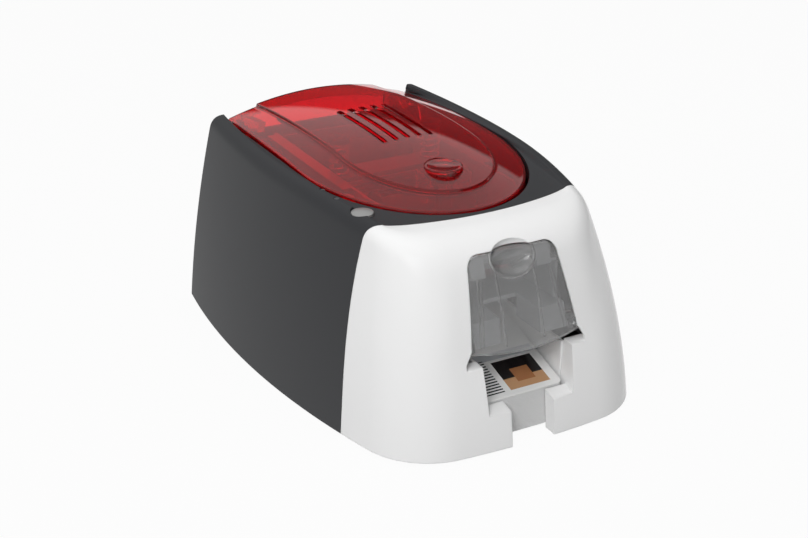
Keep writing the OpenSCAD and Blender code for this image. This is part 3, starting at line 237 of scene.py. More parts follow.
def mottled(tree, shader, place, size, detail, code, low, high):
    """Noise with cells of size mm, over which the colour runs from 1 - low to 1 + high of it."""
    noise = {"Vector": place, "Scale": 1 / (size * MM), "Detail": detail}
    texture = add(tree, "ShaderNodeTexNoise", noise)
    base = np.array(rgba(code)[:3])
    ramp = add(tree, "ShaderNodeValToRGB", {"Fac": (texture, "Fac")})
    ramp.color_ramp.elements[0].color = (*(base * (1 - low)), 1)
    ramp.color_ramp.elements[1].color = (*np.minimum(base * (1 + high), 1), 1)
    tree.links.new(ramp.outputs["Color"], shader.inputs["Base Color"])
    return texture


def softened(tree, radius):
    """Normals that run round each edge with a radius in mm."""
    return add(tree, "ShaderNodeBevel", {"Radius": radius * MM}, samples=4), "Normal"


def moulded(name, code, roughness, grain, depth, spread=0.04, edge=0.35, **sockets):
    """Injection moulded plastic: an even colour, a fine spark-eroded grain and faint flow clouds.

    grain is the size of one grain in mm, depth its height in mm, spread the colour's variation
    and edge the radius of the softened edges in mm.
    """
    material, tree, shader, place = start(name, {"Roughness": roughness, **sockets})
    mottled(tree, shader, place, 60, 2.0, code, spread, spread)
    noise = {"Vector": place, "Scale": 1 / (grain * MM), "Detail": 3.0}
    texture = add(tree, "ShaderNodeTexNoise", noise)
    relief = {"Strength": 0.5, "Distance": depth * MM, "Height": (texture, "Fac")}
    bump = add(tree, "ShaderNodeBump", {**relief, "Normal": softened(tree, edge)})
    tree.links.new(bump.outputs["Normal"], shader.inputs["Normal"])
    return material


def clear(name, code, roughness, through):
    """Clear moulded polycarbonate: coloured through and through, smooth, with faint flow lines."""
    sockets = {"Roughness": roughness, "IOR": 1.58, "Transmission Weight": through}
    material, tree, shader, place = start(name, sockets)
    mottled(tree, shader, place, 45, 1.0, code, 0.06, 0.04)
    edge, output = softened(tree, 0.3)
    tree.links.new(edge.outputs[output], shader.inputs["Normal"])
    return material


def metal(name, code, roughness, stretch, grain):
    """Bare metal with fine rolling or turning marks, stretched along the long axis of the work."""
    material, tree, shader, place = start(name, {"Metallic": 1.0, "Roughness": roughness})
    marks = add(tree, "ShaderNodeMapping", {"Vector": place, "Scale": stretch})
    texture = mottled(tree, shader, (marks, "Vector"), grain, 3.0, code, 0.15, 0.08)
    dulling = {"Value": (texture, "Fac"), "To Min": roughness * 0.8, "To Max": roughness * 1.25}
    dull = add(tree, "ShaderNodeMapRange", dulling)
    tree.links.new(dull.outputs["Result"], shader.inputs["Roughness"])
    return material


def board(name):
    """Solder resist over a copper pattern: paler squares of copper, 8 mm wide, under varnish."""
    material, tree, shader, place = start(name, {"Roughness": 0.3, "IOR": 1.5})
    pattern = {"Vector": place, "Scale": 1 / (8 * MM), "Mortar Size": 0.03}
    for socket, code in (("Color1", "#145c33"), ("Color2", "#1a6a3c"), ("Mortar", "#0b3b20")):
        pattern[socket] = rgba(code)
    copper = add(tree, "ShaderNodeTexBrick", pattern)
    tree.links.new(copper.outputs["Color"], shader.inputs["Base Color"])
    return material


def ribbon(name):
    """Dye ribbon: thin glossy film in panels of colour, 60 mm apart along the web."""
    material, tree, shader, place = start(name, {"Roughness": 0.22, "IOR": 1.5})
    split = add(tree, "ShaderNodeSeparateXYZ", {"Vector": place})
    panels = {0: (split, "Y"), 1: 60 * MM}
    wave = add(tree, "ShaderNodeMath", panels, operation="MODULO")
    span = {"Value": (wave, "Value"), "From Min": -60 * MM, "From Max": 60 * MM}
    share = add(tree, "ShaderNodeMapRange", span)
    ramp = add(tree, "ShaderNodeValToRGB", {"Fac": (share, "Result")})
    ramp.color_ramp.interpolation = "CONSTANT"
    ramp.color_ramp.elements.remove(ramp.color_ramp.elements[1])
    ramp.color_ramp.elements[0].color = rgba("#151233")
    for position, code in ((0.3, "#26101c"), (0.55, "#0b1a24"), (0.8, "#121212")):
        ramp.color_ramp.elements.new(position).color = rgba(code)
    tree.links.new(ramp.outputs["Color"], shader.inputs["Base Color"])
    return material


def card_print(name):
    """Dye printed PVC card: blocks of colour and a row of bars on white, along the tilted card.

    A block or bar shows where the distances from its middle are within its half sizes.
    """
    material, tree, shader, place = start(name, {"Roughness": 0.16, "IOR": 1.53})
    foot = {"Location": (0, PRINTED_Y * MM, PRINTED_Z * MM)}
    turn = {"Rotation": (math.radians(CARD_TILT), 0, 0)}
    flat = add(
        tree, "ShaderNodeMapping", {"Vector": place, **foot, **turn}, vector_type="TEXTURE"
    )
    split = add(tree, "ShaderNodeSeparateXYZ", {"Vector": (flat, "Vector")})
    wave = {0: (split, "Y"), 1: BAR_PITCH * MM}
    wave = add(tree, "ShaderNodeMath", wave, operation="PINGPONG")
    bars = {0: (wave, "Value"), 1: BAR_HALF * MM}
    bars = add(tree, "ShaderNodeMath", bars, operation="LESS_THAN")
    below = rgba("#f3f3f2")
    for x0, x1, v0, v1, code in [*CARD_BLOCKS, BARS]:
        sides = []
        for axis, low, high in (("X", x0, x1), ("Y", v0, v1)):
            reach = {0: (split, axis), 1: (low + high) / 2 * MM, 2: (high - low) / 2 * MM}
            sides.append((add(tree, "ShaderNodeMath", reach, operation="COMPARE"), "Value"))
        if code == BARS[-1]:
            sides.append((bars, "Value"))
        mask = sides[0]
        for side in sides[1:]:
            both = add(tree, "ShaderNodeMath", {0: mask, 1: side}, operation="MULTIPLY")
            mask = (both, "Value")
        paint = {0: mask, 6: below, 7: rgba(code)}
        below = (add(tree, "ShaderNodeMix", paint, data_type="RGBA"), 2)
    tree.links.new(below[0].outputs[2], shader.inputs["Base Color"])
    return material


def make_finishes(colours):
    """Every finish of the printer, by the record's slot name, and the printed card's own."""
    return {
        # ABS with a fine spark-eroded texture: dark, even and nearly dull, with a broad soft shine
        "graphite_plastic": moulded("graphite_abs", colours.body, 0.55, 0.35, 0.012),
        # Glossy white ABS from a polished tool: clean, with clear soft reflections of the studio
        "white_plastic": moulded("white_gloss_abs", colours.front, 0.2, 6.0, 0.004, 0.01, 0.8),
        # Clear red polycarbonate: deep where it is thick, with a mirror-like top
        "red_clear_plastic": clear("red_polycarbonate", colours.lid, 0.015, 0.92),
        # Smoked polycarbonate with a satin inner face: milky grey, soft behind
        "smoked_clear_plastic": clear("smoked_polycarbonate", colours.flap, 0.05, 0.84),
        # Pale grey ABS of the feeder and tray: satin
        "grey_plastic": moulded("pale_grey_abs", "#a4a6a8", 0.42, 0.5, 0.01),
        # Near-black glass-filled nylon: dull, with a coarse grain
        "dark_plastic": moulded("black_nylon", "#1f2022", 0.55, 0.6, 0.02),
        # Silver lacquer on ABS: metallic flake, soft shine
        "button_silver": moulded(
            "silver_lacquer", colours.button, 0.35, 0.25, 0.004, 0.08, Metallic=0.55
        ),
        # Light pipes of frosted acrylic: milky
        "light_pipe": moulded(
            "frosted_acrylic", "#55575a", 0.4, 0.4, 0.006, **{"Transmission Weight": 0.3}
        ),
        # Zinc-plated steel sheet: pale, rolled along its length
        "steel_plate": metal("zinc_plated_steel", "#c6c8c9", 0.38, (1, 0.08, 1), 0.5),
        # Steel sheet with a dark powder coat: fine orange peel
        "black_steel": moulded("dark_powder_coat", "#68696c", 0.45, 0.9, 0.02),
        # Ground steel of shafts and pins: bright, with marks round the axis
        "steel_pin": metal("ground_steel", "#b9bbbd", 0.24, (6, 1, 1), 0.8),
        # Sintered bronze of the bushes: warm, slightly porous
        "bronze": metal("sintered_bronze", "#a8753c", 0.45, (1, 1, 1), 0.3),
        # Ground rubber of rollers and feet: black, powdery
        "rubber": moulded("ground_rubber", "#17181a", 0.78, 0.3, 0.03),
        # Acetal of the gears: cream white, waxy
        "gear_plastic": moulded(
            "acetal", "#d9d6cb", 0.4, 0.8, 0.006, **{"Subsurface Weight": 0.05}
        ),
        # Turned brass of the pinions
        "brass_gear": metal("turned_brass", "#c79a4c", 0.28, (4, 1, 1), 0.4),
        # Extruded aluminium of the print head: pale, drawn along X
        "head_aluminium": metal("extruded_aluminium", "#c3c5c8", 0.4, (0.06, 1, 1), 0.4),
        "ribbon": ribbon("dye_ribbon"),
        # Tacky silicone of the cleaning roller: even blue, smooth
        "blue_rubber": moulded("blue_silicone", "#2f6fae", 0.35, 1.2, 0.004),
        # Blank PVC cards: white with a faint cool cast, glossy
        "card_plastic": moulded("blank_card_pvc", "#dcdcdc", 0.25, 3.0, 0.002, 0.03),
        "circuit_board": board("solder_resist"),
        "printed_card": card_print("printed_card_pvc"),
    }


finishes = {}


class PRINTER_OT_finishes(bpy.types.Operator):
    """Finishes for every record slot, put on the CAD nodes that stay."""

    bl_idname = "printer.finishes"
    bl_label = "Finishes"

    def execute(self, context):
        finishes.update(make_finishes(context.scene.printer_colours))
        slots = {part["node"]: part["material_slot"] for part in frame["record"]["subparts"]}
        for node, piece in frame["nodes"].items():
            material = finishes[slots[node]]
            if not piece.material_slots:
                piece.data.materials.append(material)
            for holder in piece.material_slots:
                holder.material = material
        return {"FINISHED"}


# ---- surfaces ----
def make(name, parts, merge=1e-6):
    """One mesh object from (points in mm, faces) pairs, with touching points merged."""
    points, faces, start = [], [], 0
    for p, f in parts:
        p = np.asarray(p, float).reshape(-1, 3)
        points.append(p)
        faces += [tuple(int(i) + start for i in q) for q in f]
        start += len(p)
    mesh = bpy.data.meshes.new(name)
    mesh.from_pydata((np.concatenate(points) * MM).tolist(), [], faces)
    bm = bmesh.new()
    bm.from_mesh(mesh)
    bmesh.ops.remove_doubles(bm, verts=bm.verts, dist=merge)
    bmesh.ops.dissolve_degenerate(bm, edges=bm.edges, dist=merge)
    bmesh.ops.recalc_face_normals(bm, faces=bm.faces)
    bm.to_mesh(mesh)
    bm.free()
    piece = bpy.data.objects.new(name, mesh)
    bpy.context.collection.objects.link(piece)
    return piece


def whole_turn(steps):
    """Angles of equal steps round a circle."""
    return np.linspace(0, 2 * np.pi, steps, endpoint=False)


def grid_faces(rows, columns, closed_rows=False, closed_columns=False, start=0):
    """Quads of a grid of rows x columns points, joined end to end where a side is closed."""
    r = np.arange(rows if closed_rows else rows - 1)[:, None]
    c = np.arange(columns if closed_columns else columns - 1)[None, :]
    r2, c2 = (r + 1) % rows, (c + 1) % columns
    quads = np.stack([r * columns + c, r * columns + c2, r2 * columns + c2, r2 * columns + c], -1)
    return (quads.reshape(-1, 4) + start).tolist()


def slab(upper, lower):
    """A closed solid between two grids of points: both grids and the four edge strips."""
    ny, nx = upper.shape[:2]
    count = ny * nx
    index = np.arange(count).reshape(ny, nx)
    faces = grid_faces(ny, nx) + [q[::-1] for q in grid_faces(ny, nx, start=count)]
    for edge in (index[0], index[-1], index[:, 0], index[:, -1]):
        quads = np.stack([edge[:-1], edge[1:], edge[1:] + count, edge[:-1] + count], -1)
        faces += quads.tolist()
    return np.concatenate([upper.reshape(-1, 3), lower.reshape(-1, 3)]), faces


def tube(rings, closed=False):
    """A tube of faces through rings of points, with flat ends unless it closes on itself."""
    n, m = rings.shape[:2]
    faces = grid_faces(n, m, closed_rows=closed, closed_columns=True)
    if not closed:
        faces += [list(range(m)), list(range((n - 1) * m, n * m))]
    return rings.reshape(-1, 3), faces


def prism(outline, low, high, along):
    """An outline of (u, v) pushed from low to high along one axis: 0 for X, 1 for Y, 2 for Z."""
    p = np.asarray(outline, float)
    rings = []
    for level in (low, high):
        q = np.zeros((len(p), 3))
        q[:, along] = level
        q[:, [i for i in range(3) if i != along]] = p
        rings.append(q)
    return tube(np.stack(rings))


def brick(low, high):
    """A block between two corners, as a prism along Z."""
    (x0, y0, z0), (x1, y1, z1) = low, high
    return prism([(x0, y0), (x1, y0), (x1, y1), (x0, y1)], z0, z1, 2)


def lathe(profile, centre, sides=72, along=2):
    """A profile of (radius, height) turned about an axis: each point runs round a circle."""
    p = np.asarray(profile, float)
    a = whole_turn(sides)
    ring = np.zeros((len(p), sides, 3))
    u, v = [i for i in range(3) if i != along]
    ring[..., u] = p[:, :1] * np.cos(a)
    ring[..., v] = p[:, :1] * np.sin(a)
    ring[..., along] = p[:, 1:]
    ring += np.asarray(centre, float)
    return ring.reshape(-1, 3), grid_faces(len(p), sides, closed_columns=True)


def ball(centre, radii, tilt=0.0, steps=48):
    """An ellipsoid: (rx cos u cos v, ry cos u sin v, rz sin u), turned about X by tilt degrees."""
    u = np.linspace(-np.pi / 2, np.pi / 2, steps // 2 + 1)[:, None]
    v = whole_turn(steps)[None, :]
    x = radii[0] * np.cos(u) * np.cos(v)
    y = radii[1] * np.cos(u) * np.sin(v)
    z = radii[2] * np.sin(u) + 0 * v
    c, s = math.cos(math.radians(tilt)), math.sin(math.radians(tilt))
    q = np.stack([x, y * c - z * s, y * s + z * c], -1) + np.asarray(centre, float)
    return q.reshape(-1, 3), grid_faces(steps // 2 + 1, steps, closed_columns=True)


def mirrored(parts):
    """The parts and their mirror images across the middle plane."""
    return parts + [(np.asarray(p).reshape(-1, 3) * (-1, 1, 1), f) for p, f in parts]


def disc(centre, radius, low, high, sides=72, along=2):
    """A plain round tool: a circle about (u, v) pushed from low to high along one axis."""
    a = whole_turn(sides)
    circle = np.column_stack([radius * np.cos(a), radius * np.sin(a)]) + np.asarray(centre, float)
    return prism(circle, low, high, along)


def rounded(radius, r, z, steps):
    """The rounded rim of a turned profile: (radius - r + r sin a, z + r cos a)."""
    a = np.linspace(0, np.pi / 2, steps)
    return [(radius - r + r * math.sin(t), z + r * math.cos(t)) for t in a]


def join(piece, other, operation):
    """Adds, subtracts or intersects one made piece with another, and removes the other."""
    modifier = piece.modifiers.new("join", "BOOLEAN")
    modifier.operation, modifier.solver, modifier.object = operation, "MANIFOLD", other
    seen = piece.evaluated_get(bpy.context.evaluated_depsgraph_get())
    result = bpy.data.meshes.new_from_object(seen)
    piece.modifiers.clear()
    old, piece.data = piece.data, result
    bpy.data.meshes.remove(old)
    bpy.data.objects.remove(other)
    if not len(result.vertices):
        raise RuntimeError(f"{piece.name}: nothing is left after {operation}")


def cut(piece, operation, tools):
    """Joins each tool, a list of surface parts, to the piece."""
    for parts in tools:
        join(piece, make("tool", parts), operation)


def finished(piece, body, nodes, slot, finish=None, angle=32):
    """Smooth faces up to the angle, then the slot's material on the piece, the piece on its body,
    and the CAD nodes it stands for hidden.

    finish names the material where the slot's own isn't the one.
    """
    piece.data.shade_smooth()
    piece.data.set_sharp_from_angle(angle=math.radians(angle))
    piece.data.materials.clear()
    piece.data.materials.append(finishes[finish or slot])
    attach(piece, body)
    if nodes:
        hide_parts(*nodes)


# ---- plan and section of the casing ----
def casing_arcs():
    """Centre, radius and angles of the side, corner and front arcs, which touch tangentially."""
    side = np.array([BODY_W / 2 - SIDE_R, WIDEST_Y])
    front = np.array([0.0, FRONT_Y + FRONT_R])
    d = front - side
    ds, df, dd = SIDE_R - CORNER_R, FRONT_R - CORNER_R, float(np.hypot(*d))
    a = (ds**2 - df**2 + dd**2) / (2 * dd)
    h = math.sqrt(ds**2 - a**2)
    u = d / dd
    corner = side + u * a + np.array([u[1], -u[0]]) * h
    a0 = math.asin((SIDE_END_Y - side[1]) / SIDE_R)
    a1 = math.atan2(corner[1] - side[1], corner[0] - side[0])
    a2 = math.atan2(corner[1] - front[1], corner[0] - front[0])
    return [(side, SIDE_R, a0, a1), (corner, CORNER_R, a1, a2), (front, FRONT_R, a2, -math.pi / 2)]


ARCS = casing_arcs()


def folded(k):
    """Station k, or where it is past the front's middle its mirror image."""
    return np.where(k <= HALF_N, k, 2 * HALF_N - k)


def plan(k, inset):
    """Plan point and outward normal at station k: centre + (radius - inset) (cos a, sin a)."""
    k = np.asarray(k, float)
    q = folded(k)
    starts = np.cumsum([0, SIDE_N, CORNER_N])
    which = np.clip(np.searchsorted(starts, q, side="right") - 1, 0, 2)
    share = (q - starts[which]) / np.array([SIDE_N, CORNER_N, FRONT_N])[which]
    centre, radius, first, last = [np.array(values)[which] for values in zip(*ARCS)]
    a = first + (last - first) * share
    flip = np.where(k <= HALF_N, 1.0, -1.0)
    normal = np.stack([np.cos(a), np.sin(a)], -1)
    point = centre + (radius - inset)[:, None] * normal
    point[:, 0] *= flip
    normal[:, 0] *= flip
    return point, normal


def draw_in(z):
    """Shares of the width and of the nose left at height z: 1 - (draft z + curve z^2) / size."""
    side = 1 - (SIDE_DRAFT * z + SIDE_CURVE * z * z) / (BODY_W / 2)
    nose = 1 - (FRONT_DRAFT * z + FRONT_CURVE * z * z) / NOSE_L
    return side, nose


def lean(p, z):
    """Plan points (x, y) carried to height z, drawn in towards x = 0 and the widest place."""
    side, nose = draw_in(z)
    y = np.where(p[..., 1] < WIDEST_Y, WIDEST_Y + (p[..., 1] - WIDEST_Y) * nose, p[..., 1])
    return np.stack([p[..., 0] * side, y, z + 0 * y], -1)


def lid_top(x, y):
    """Height of the lid's tongue: BODY_H - dy^2 / 2R - x^2 / 2Rx from the crown."""
    radius = np.where(y > LID_CROWN_Y, CROWN_REAR_R, CROWN_FRONT_R)
    return BODY_H - (y - LID_CROWN_Y) ** 2 / (2 * radius) - x * x / (2 * CROWN_ACROSS_R)


def top_z(y):
    """Height of the casing's top edge, which falls towards the front with y squared."""
    return CASING_TOP - np.where(y < 0, TOP_FALL * y * y, 0)


def rim(k, off):
    """Outline of the lid's opening at station k: the lid's straight side, then half an ellipse."""
    q = folded(k)
    y, _ = plan(np.minimum(q, SIDE_N), 0)
    last = max(i for i in range(SIDE_N + 1) if plan([i], 0)[0][0, 1] >= LID_NOSE_Y)
    y_last = plan([last], 0)[0][0, 1]
    straight = (y_last - LID_NOSE_Y) / RIM_RUN
    t = (q - last) / (HALF_N - last)
    run = np.clip(t / max(straight, 1e-9), 0, 1)
    yy = np.where(q <= last, y[:, 1], y_last + (LID_NOSE_Y - y_last) * run)
    f = (yy - LID_NOSE_Y) / (LID_REAR_Y - LID_NOSE_Y)
    a = np.clip((t - straight) / (1 - straight), 0, 1) * np.pi / 2
    o = LID_GAP + off
    side = LID_HALF + o - (LID_HALF - LID_REAR_HALF) * f * f
    x = np.where(a > 0, (LID_HALF + o) * np.cos(a), side)
    y = np.where(a > 0, LID_NOSE_Y - (LID_NOSE_L + o) * np.sin(a), yy)
    return np.stack([x * np.where(k <= HALF_N, 1, -1), y], -1)


def skin(k, inset, off, edge=0.0):
    """Section of the casing's skin, set in, at each station, from the foot to the lid's opening.

    It climbs the leaning wall, turns over on a quadratic Bezier curve and runs straight to the
    opening, where its edge is a quarter circle of radius edge.
    """
    p, n = plan(k, inset)
    share = np.clip((folded(k) - SIDE_N) / CORNER_N, 0, 1)
    r = SIDE_TURN_R + (FRONT_TURN_R - SIDE_TURN_R) * share**2 * (3 - 2 * share)
    q = lean(plan(k, 0)[0], np.full(len(k), CASING_TOP))
    zt = top_z(q[:, 1]) - inset
    a, c = lean(p, zt - r), lean(p, zt)
    turn = c[:, :2] - r[:, None] * n
    inner = np.column_stack([turn, top_z(turn[:, 1]) - inset])
    end = np.column_stack([rim(k, off), lid_top(*rim(k, 0).T) - TONGUE_RISE - inset])
    s = np.linspace(0, 1, WALL_ROWS)[None, :]
    height = BASE_GAP + (zt - r - BASE_GAP)[:, None] * s
    wall = lean(p[:, None, :] + 0 * height[..., None], height)
    s = np.linspace(0, 1, TURN_ROWS + 1)[None, 1:, None]
    over = a[:, None] * (1 - s) ** 2 + c[:, None] * 2 * s * (1 - s) + inner[:, None] * s**2
    stop = end
    if edge:
        inwards = end[:, :2] - inner[:, :2]
        inwards /= np.linalg.norm(inwards, axis=1)[:, None]
        stop = end - np.column_stack([inwards * edge, 0 * zt])
    s = np.linspace(0, 1, TOP_ROWS + 1)[None, 1:, None]
    top = inner[:, None] * (1 - s) + stop[:, None] * s
    rows = [wall, over, top]
    if edge:
        f = np.linspace(0, np.pi / 2, 6)[None, 1:, None]
        flat = np.column_stack([inwards, 0 * zt])[:, None]
        fall = np.array([0, 0, edge]) * (1 - np.cos(f))
        rows.append(stop[:, None] + flat * edge * np.sin(f) - fall)
    return np.concatenate(rows, 1)


def stations(fine):
    """Station numbers along the whole plan, fine of them to each of the source's stations."""
    return np.linspace(0, 2 * HALF_N, 2 * HALF_N * fine + 1)


def band(outer, inner):
    """A closed solid along the plan from two rows of points a station, with both ends capped."""
    rings = np.concatenate([outer, inner[:, ::-1]], 1)
    n, m = rings.shape[:2]
    faces = grid_faces(n, m, closed_columns=True)
    j = np.arange(m // 2 - 1)
    cap = np.stack([j, j + 1, m - 2 - j, m - 1 - j], -1).tolist()
    if m % 2:
        cap.append([m // 2 - 1, m // 2, m // 2 + 1])
    for start in (0, (n - 1) * m):
        faces += [[start + i for i in q] for q in cap]
    return rings.reshape(-1, 3), faces


def casing_skin(wall, edge):
    """The casing's wall: the outer section, the inner section and the opening's flange."""
    k = stations(6)
    e, f = rim(k, 0), rim(k, FLANGE_T)
    z = lid_top(*e.T) - TONGUE_RISE - FLANGE_DEPTH
    flange = np.stack([np.column_stack([f, z]), np.column_stack([e, z])], 1)
    inner = skin(k, wall, FLANGE_T, edge)
    return band(skin(k, 0, 0, edge), np.concatenate([inner, flange], 1))


def casing_mass(inset):
    """The room inside the casing's walls: the inset section, closed by a straight drop."""
    outer = skin(stations(3), inset, 0)
    drop = outer[:, -1:].repeat(outer.shape[1], 1)
    rise = np.linspace(0, 1, outer.shape[1])[None, :]
    drop[..., 2] = BASE_GAP + (drop[..., 2] - BASE_GAP) * rise
    return band(outer, drop[:, :-1])


def before_seam(gap):
    """The room before the seam: y = y0 + bow (x / half)^2 (0.09 + 0.91 (z / top)^1.4)."""
    z = np.linspace(-5, 150, 40)[:, None]
    x = np.linspace(120, -120, 61)[None, :]
    bow = 0.09 + 0.91 * (np.maximum(z, 0) / SEAM_TOP) ** 1.4
    y = SEAM_Y + SEAM_BOW * (x / SEAM_HALF) ** 2 * bow - gap
    upper = np.stack([x + 0 * y, y, z + 0 * y], -1)
    lower = upper.copy()
    lower[..., 1] = FRONT_Y - 20
    return slab(upper, lower)


def front_face(x, z):
    """Y of the front wall's face at (x, z): its plan arc, drawn in as the wall leans."""
    side, nose = draw_in(z)
    y = FRONT_Y + FRONT_R - np.sqrt(FRONT_R**2 - (x / side) ** 2)
    return WIDEST_Y + (y - WIDEST_Y) * nose


def front_plate(w0, w1, lower=0):
    """A plate that follows the front wall from w0 to w1 behind its face, as wide as the flap."""
    half, z0, z1 = FLAP_BLANK
    z = np.linspace(z0, z1 - lower, 48)[:, None]
    x = np.linspace(-half, half, 56)[None, :]
    y = front_face(x, z)
    return slab(*[np.stack([x + 0 * y, y + w, z + 0 * y], -1) for w in (w0, w1)])


def flap_outline(off):
    """Outline (x, z) of the feeder flap: a sagging foot, leaning sides and round shoulders."""
    f = np.linspace(0, 1, 13)
    foot = np.column_stack(
        [(FLAP_FOOT_HALF + off) * f, FLAP_FOOT_Z - off - FLAP_SAG * (1 - f * f)]
    )
    a = np.linspace(0, np.pi / 2, 14)
    r = SHOULDER_R + off
    shoulder = np.column_stack([SHOULDER_X + r * np.cos(a), SHOULDER_Z + r * np.sin(a)])
    right = np.concatenate([foot, shoulder])
    return np.concatenate([right, right[:0:-1] * (-1, 1)])


def scoop(grow):
    """The thumb bowl over the flap, an ellipsoid that leans back."""
    y = float(front_face(0.0, SCOOP_Z))
    return ball((0, y, SCOOP_Z), [r + grow for r in SCOOP_RADII], SCOOP_TILT)


def notch_outline():
    """Outline (x, z) of the stepped card outlet."""
    right = [
        (LEDGE_IN, LEDGE_Z), (LEDGE_OUT, LEDGE_Z), (STEP_IN, STEP_Z), (STEP_OUT, STEP_Z),
        (STEP_OUT, STEP_Z + 3), (35.9, 61.2), (0, 61.2),
    ]
    return right + [(-x, z) for x, z in right[-2::-1]]


def notch_walls():
    """Ledges, cheeks and upper steps beside the cards, for the right half and mirrored."""
    low = BASE_GAP + 0.2
    back = STACK_Y + STACK_N * STACK_SHIFT - 0.8
    ledge = [
        (FRONT_Y - 5, low), (FRONT_Y - 5, LEDGE_Z - 2), (FRONT_Y + 2.6, LEDGE_Z - 0.02),
        (back, LEDGE_Z + (back - FRONT_Y - 2.6) * LEDGE_SLOPE),
        (back - STACK_N * STACK_SHIFT, low),
    ]
    cheek = [
        (LEDGE_OUT - 0.1, low), (LEDGE_OUT - 0.1, LEDGE_Z), (STEP_IN - 0.1, STEP_Z - 1.5),
        (STEP_IN + 2.4, STEP_Z - 1.5), (STEP_IN + 2.4, low),
    ]
    step = [
        (FRONT_Y - 5, STEP_Z - 3.4), (FRONT_Y - 5, STEP_Z - 0.6), (FRONT_Y + 8, STEP_Z - 0.02),
        (STEP_BACK - 0.2, STEP_Z + STEP_RISE), (STEP_BACK - 0.2, STEP_Z - 2.2),
    ]
    return [
        mirrored([prism(ledge, LEDGE_IN - 1, LEDGE_OUT + 1, 0)]),
        mirrored([prism(cheek, FRONT_Y - 5, STEP_BACK, 1)]),
        mirrored([prism(step, STEP_IN - 0.2, STEP_OUT + 3, 0)]),
    ]


class PRINTER_OT_body(bpy.types.Operator):
    """Graphite body shell with its holes for the power button and the status lights."""

    bl_idname = "printer.body"
    bl_label = "Body shell"

    def execute(self, context):
        s = context.scene.printer_casing
        piece = make("body_skin", [casing_skin(s.wall / MM, s.rim_round / MM)])
        power_hole = disc((POWER_X, POWER_Y), POWER_R + BUTTON_FIT, 100, 150)
        tools = [[before_seam(0)], [power_hole]]
        tools += [[disc((x, y), LED_R, 110, 140, 24)] for x, y in LED_PLACES]
        cut(piece, "DIFFERENCE", tools)
        finished(piece, "chassis", ["body_shell"], "graphite_plastic")
        return {"FINISHED"}


class PRINTER_OT_rear(bpy.types.Operator):
    """Rear panel, bowed forward with x squared, with its vents and socket windows."""

    bl_idname = "printer.rear"
    bl_label = "Rear panel"

    def execute(self, context):
        wall = context.scene.printer_casing.wall / MM
        z = np.linspace(BASE_GAP, PANEL_TOP, 24)[:, None]
        half = lean(plan([0.0], wall)[0], z)[..., 0] - PANEL_FIT
        x = half * np.linspace(1, -1, 41)[None, :]
        y = REAR_Y - (REAR_Y - SIDE_END_Y) * (x / (BODY_W / 2 - 6)) ** 2
        outer = np.stack([x, y, z + 0 * x], -1)
        panel = make("rear_skin", [slab(outer, outer - (0, PANEL_T, 0))])
        y0, y1 = SIDE_END_Y - 9, REAR_Y + 5
        (x0, z0), (x1, z1) = DATA_LOW, DATA_HIGH
        tools = [[brick((x0, y0, z0), (x1, y1, z1))]]
        tools.append([disc((0, JACK_Z), JACK_R, y0, y1, 48, 1)])
        for i in range(REAR_VENTS):
            x = REAR_VENT_X + REAR_VENT_PITCH * i
            tools.append([brick((x, y0, REAR_VENT_LOW), (x + REAR_VENT_W, y1, REAR_VENT_HIGH))])
        cut(panel, "DIFFERENCE", tools)
        finished(panel, "chassis", ["rear_panel"], "graphite_plastic")
        return {"FINISHED"}


class PRINTER_OT_front(bpy.types.Operator):
    """White front cover with the flap's window, thumb bowl, stepped outlet and thumb notch."""

    bl_idname = "printer.front"
    bl_label = "Front cover"

    def execute(self, context):
        s = context.scene.printer_casing
        piece = make("front_skin", [casing_skin(s.wall / MM, s.rim_round / MM)])
        cut(piece, "INTERSECT", [[before_seam(s.seam_gap / MM)]])
        cut(piece, "DIFFERENCE", [[prism(notch_outline(), FRONT_Y - 5, FRONT_Y + 16, 1)]])
        inside = make("inside", [scoop(s.wall / MM)])
        cut(inside, "UNION", notch_walls())
        cut(inside, "INTERSECT", [[casing_mass(0.6)]])
        join(piece, inside, "UNION")
        window = prism(flap_outline(s.flap_gap / MM), FRONT_Y - 5, FRONT_Y + 50, 1)
        foot = brick((-LEDGE_IN, FRONT_Y - 5, -5), (LEDGE_IN, FRONT_Y + 30, LEDGE_Z + 9))
        cut(piece, "DIFFERENCE", [[foot], [window], [scoop(0)]])
        finished(piece, "chassis", ["front_cover"], "white_plastic")
        return {"FINISHED"}


